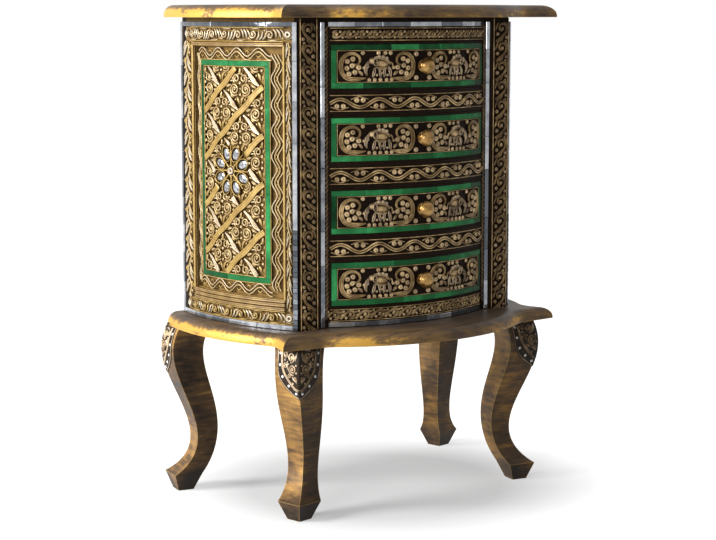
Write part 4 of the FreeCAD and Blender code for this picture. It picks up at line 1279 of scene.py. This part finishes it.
def plaque_carving(to_side):
    """A shield's carving on both faces of the leg, paler on the face to the side, which is at to_side, and
    dimmed on the other face: painted light on one copy and painted shade on the other.
    """
    knot = [
        Rib(spiral((11.0, 45.0), 7.8, 2.2, 250, 1.6), 2.6, 3.0, GROOVED, 0.2),
        Rib(spiral((14.5, 62.5), 7.2, 2.0, -80, -1.5), 2.6, 3.0, GROOVED, 0.2),
        Rib(spiral((5.6, 32.0), 3.8, 1.2, 200, 1.3), 2.0, 2.6, ROUND, 0.2),
        Rib(spiral((25.5, 66.0), 4.4, 1.4, 200, 1.4), 2.0, 2.6, GROOVED, 0.2),
        Rib(spiral((26.0, 50.0), 3.8, 1.2, 100, -1.4), 2.0, 2.6, GROOVED, 0.2),
        Rib(spiral((18.5, 35.5), 3.2, 1.0, 160, 1.3), 1.8, 2.4, ROUND, 0.2),
        leaf([(3.0, 26.0), (8.0, 31.0), (13.0, 34.5)], 3.4, 2.8, GROOVED, 0.8),
        leaf([(19.5, 42.0), (22.0, 49.0), (23.0, 57.0)], 3.4, 2.8, GROOVED, 0.8),
        leaf([(3.0, 72.0), (5.0, 64.0), (7.5, 57.0)], 3.4, 2.8, GROOVED, 0.8),
        leaf([(9.0, 73.0), (16.0, 72.5), (22.0, 70.0)], 3.4, 2.8, GROOVED, 0.6),
    ]
    berries = (
        (11.0, 45.0), (14.5, 62.5), (4.0, 52.0), (19.5, 52.5),
        (3.6, 41.0), (10.5, 24.5), (27.0, 58.0), (4.6, 78.0),
    )
    half = moved(knot + beads(berries, 2.0, 2.8, 0.4), (0, PLAQUE_TIP))
    half.append(Rib(plaque_outline(10.6), 4.4, 3.2, GROOVED, 0.4))
    half.append(Rib(plaque_outline(1.0), 1.7, 1.5, ROUND, 0.6))
    # Painted light: the face to the side gets a paler copy and the other face a dimmed copy, a painted
    # shade.
    paler = [stroke._replace(tone=min(1.0, stroke.tone + 0.4)) for stroke in half]
    painted_shade_half = dimmed(half, 0.7)
    return paler + mirrored(painted_shade_half) if to_side > 0 else painted_shade_half + mirrored(paler)


def plaque_studs():
    rim = plaque_outline(5.2)
    last = len(rim) - 1
    half = [Boss(tuple(rim[int(share * last)]), 2.6, 2.6, 2.3) for share in (0.07, 0.28, 0.49, 0.7, 0.9)]
    return half + mirrored(half)


def knee_plaques():
    carving = Relief("knee_plaque_carving")
    plates = Relief("knee_plaque_plates")
    studs = Relief("knee_plaque_studs")
    rim = plaque_outline(0.0)
    heights = np.linspace(PLAQUE_TIP, PLAQUE_TOP - PLAQUE_CLEARANCE, PLATE_ROWS)
    halves = np.interp(heights, rim[:, 1], rim[:, 0])[:, None] * np.linspace(1, -1, PLATE_COLUMNS)
    rows = np.repeat(heights[:, None], PLATE_COLUMNS, 1)
    for hand, sign in HANDS.items():
        for end, outward in (("front", -1), ("rear", 1)):
            surface = knee_surface(f"{end}_{hand}_leg", sign, outward)
            plates.slab(surface, halves, rows, PLATE_HEIGHT)
            carving.lay(surface, plaque_carving(-sign * outward))
            studs.lay(surface, plaque_studs())
    plates.build("carcass", "gilt_carving", PLAQUE_LACQUER, ("knee_plaques",))
    carving.build("carcass", "gilt_carving", FRONT_GILT)
    studs.build("carcass", "mirror_glass", ENAMEL)


# Finishes of the CAD nodes
def dress_nodes():
    finishes = {
        "gilt_board": BOARD, "gilt_carving": FRONT_GROUND, "leg_wood": LEG_WOOD, "plain_wood": PLAIN_WOOD,
        "green_glass": DRAWER_GREEN, "mirror_glass": MIRROR, "knob_brass": BRASS, "screw_steel": STEEL,
    }
    for part in frame["record"]["subparts"]:
        node, slot = part["node"], part["material_slot"]
        on_side = slot == "gilt_carving" and "_side_" in node
        materials = frame["nodes"][node].data.materials
        materials.clear()
        materials.append(SIDE_GROUND if on_side else finishes[slot])


# Stage, light and camera
FLOOR_REACH = 14.0
FLOOR_COLOUR = (0.36, 0.36, 0.36, 1)
# The floor's emission by distance from the middle: white far off, lower near the object as a painted
# shadow.
FLOOR_GLOW_AND_PAINTED_SHADOW = {"low": 0.4, "high": 1.0, "start": 0.2, "end": 0.42}
WORLD_COLOUR = (1, 1, 1, 1)
WORLD_LIGHT = {"low": 0.06, "high": 1.0}
CAMERA_PLACE = (-1.7211, -2.3062, 0.7421)
CAMERA_TILT = 82.15
CAMERA_AZIMUTH = -36.191
CAMERA_LENS = 93.049
SENSOR_WIDTH = 36


def studio_floor():
    """A pale floor that keeps shadows, and shows white away from the object; its emission fades near the
    object, a painted shadow beneath it.
    """
    mesh = bpy.data.meshes.new("floor")
    corners = [(-1, -1), (1, -1), (1, 1), (-1, 1)]
    mesh.from_pydata([(x * FLOOR_REACH, y * FLOOR_REACH, 0) for x, y in corners], [], [(0, 1, 2, 3)])
    material = bpy.data.materials.new("floor")
    material.use_nodes = True
    material.node_tree.nodes.clear()
    nodes = Nodes(material.node_tree)
    away = nodes.node("ShaderNodeVectorMath", {0: nodes.place()}, operation="LENGTH").outputs["Value"]
    # Painted shadow: the emission seen by camera and reflections drops near the object.
    strength = nodes.math("MULTIPLY", nodes.shown_directly(), nodes.span(away, **FLOOR_GLOW_AND_PAINTED_SHADOW))
    glow_and_painted_shadow = nodes.node("ShaderNodeEmission", {"Strength": strength}).outputs[0]
    paper = nodes.node("ShaderNodeBsdfDiffuse", {"Color": FLOOR_COLOUR}).outputs[0]
    both = nodes.node("ShaderNodeAddShader", {0: paper, 1: glow_and_painted_shadow}).outputs[0]
    nodes.node("ShaderNodeOutputMaterial", {"Surface": both})
    mesh.materials.append(material)
    floor = placed("floor", mesh)


def studio_world():
    world = bpy.data.worlds.new("studio")
    bpy.context.scene.world = world
    world.use_nodes = True
    nodes = Nodes(world.node_tree)
    back = world.node_tree.nodes["Background"].inputs
    back["Color"].default_value = WORLD_COLOUR
    nodes.feed(back["Strength"], nodes.span(nodes.shown_directly(), **WORLD_LIGHT))


def lamp(name, place, target, size, power):
    light = bpy.data.lights.new(name, "AREA")
    light.shape = "DISK"
    light.size = size
    light.energy = power
    thing = placed(name, light)
    thing.location = place
    heading = np.array(target) - np.array(place)
    flat = math.hypot(heading[0], heading[1])
    thing.rotation_euler = (math.atan2(flat, -heading[2]), 0, math.atan2(-heading[0], heading[1]))


def photo_camera():
    """A camera tilted a little down, at the photograph's view."""
    data = bpy.data.cameras.new("camera")
    data.sensor_width = SENSOR_WIDTH
    data.lens = CAMERA_LENS
    camera = placed("camera", data)
    camera.location = CAMERA_PLACE
    camera.rotation_euler = (math.radians(CAMERA_TILT), 0, math.radians(CAMERA_AZIMUTH))
    bpy.context.scene.camera = camera


dress_nodes()
front_rails()
front_posts()
front_mirrors()
for number in DRAWERS:
    drawer_dressing(number)
for hand, sign in HANDS.items():
    side_frame(hand, sign)
    side_field(hand, sign)
    side_mirrors(hand, sign)
side_greens()
side_flowers()
knee_plaques()
studio_floor()
studio_world()
lamp("key", (-2.4, 0.6, 1.25), (0, 0, 0.45), size=1.1, power=112)
lamp("top", (-0.3, 0.1, 3.4), (0, 0, 0), size=2.2, power=42)
lamp("fill", (-2.2, -1.2, 0.95), (0, 0, 0.4), size=1.0, power=25)
photo_camera()
bpy.context.scene.view_settings.view_transform = "Standard"
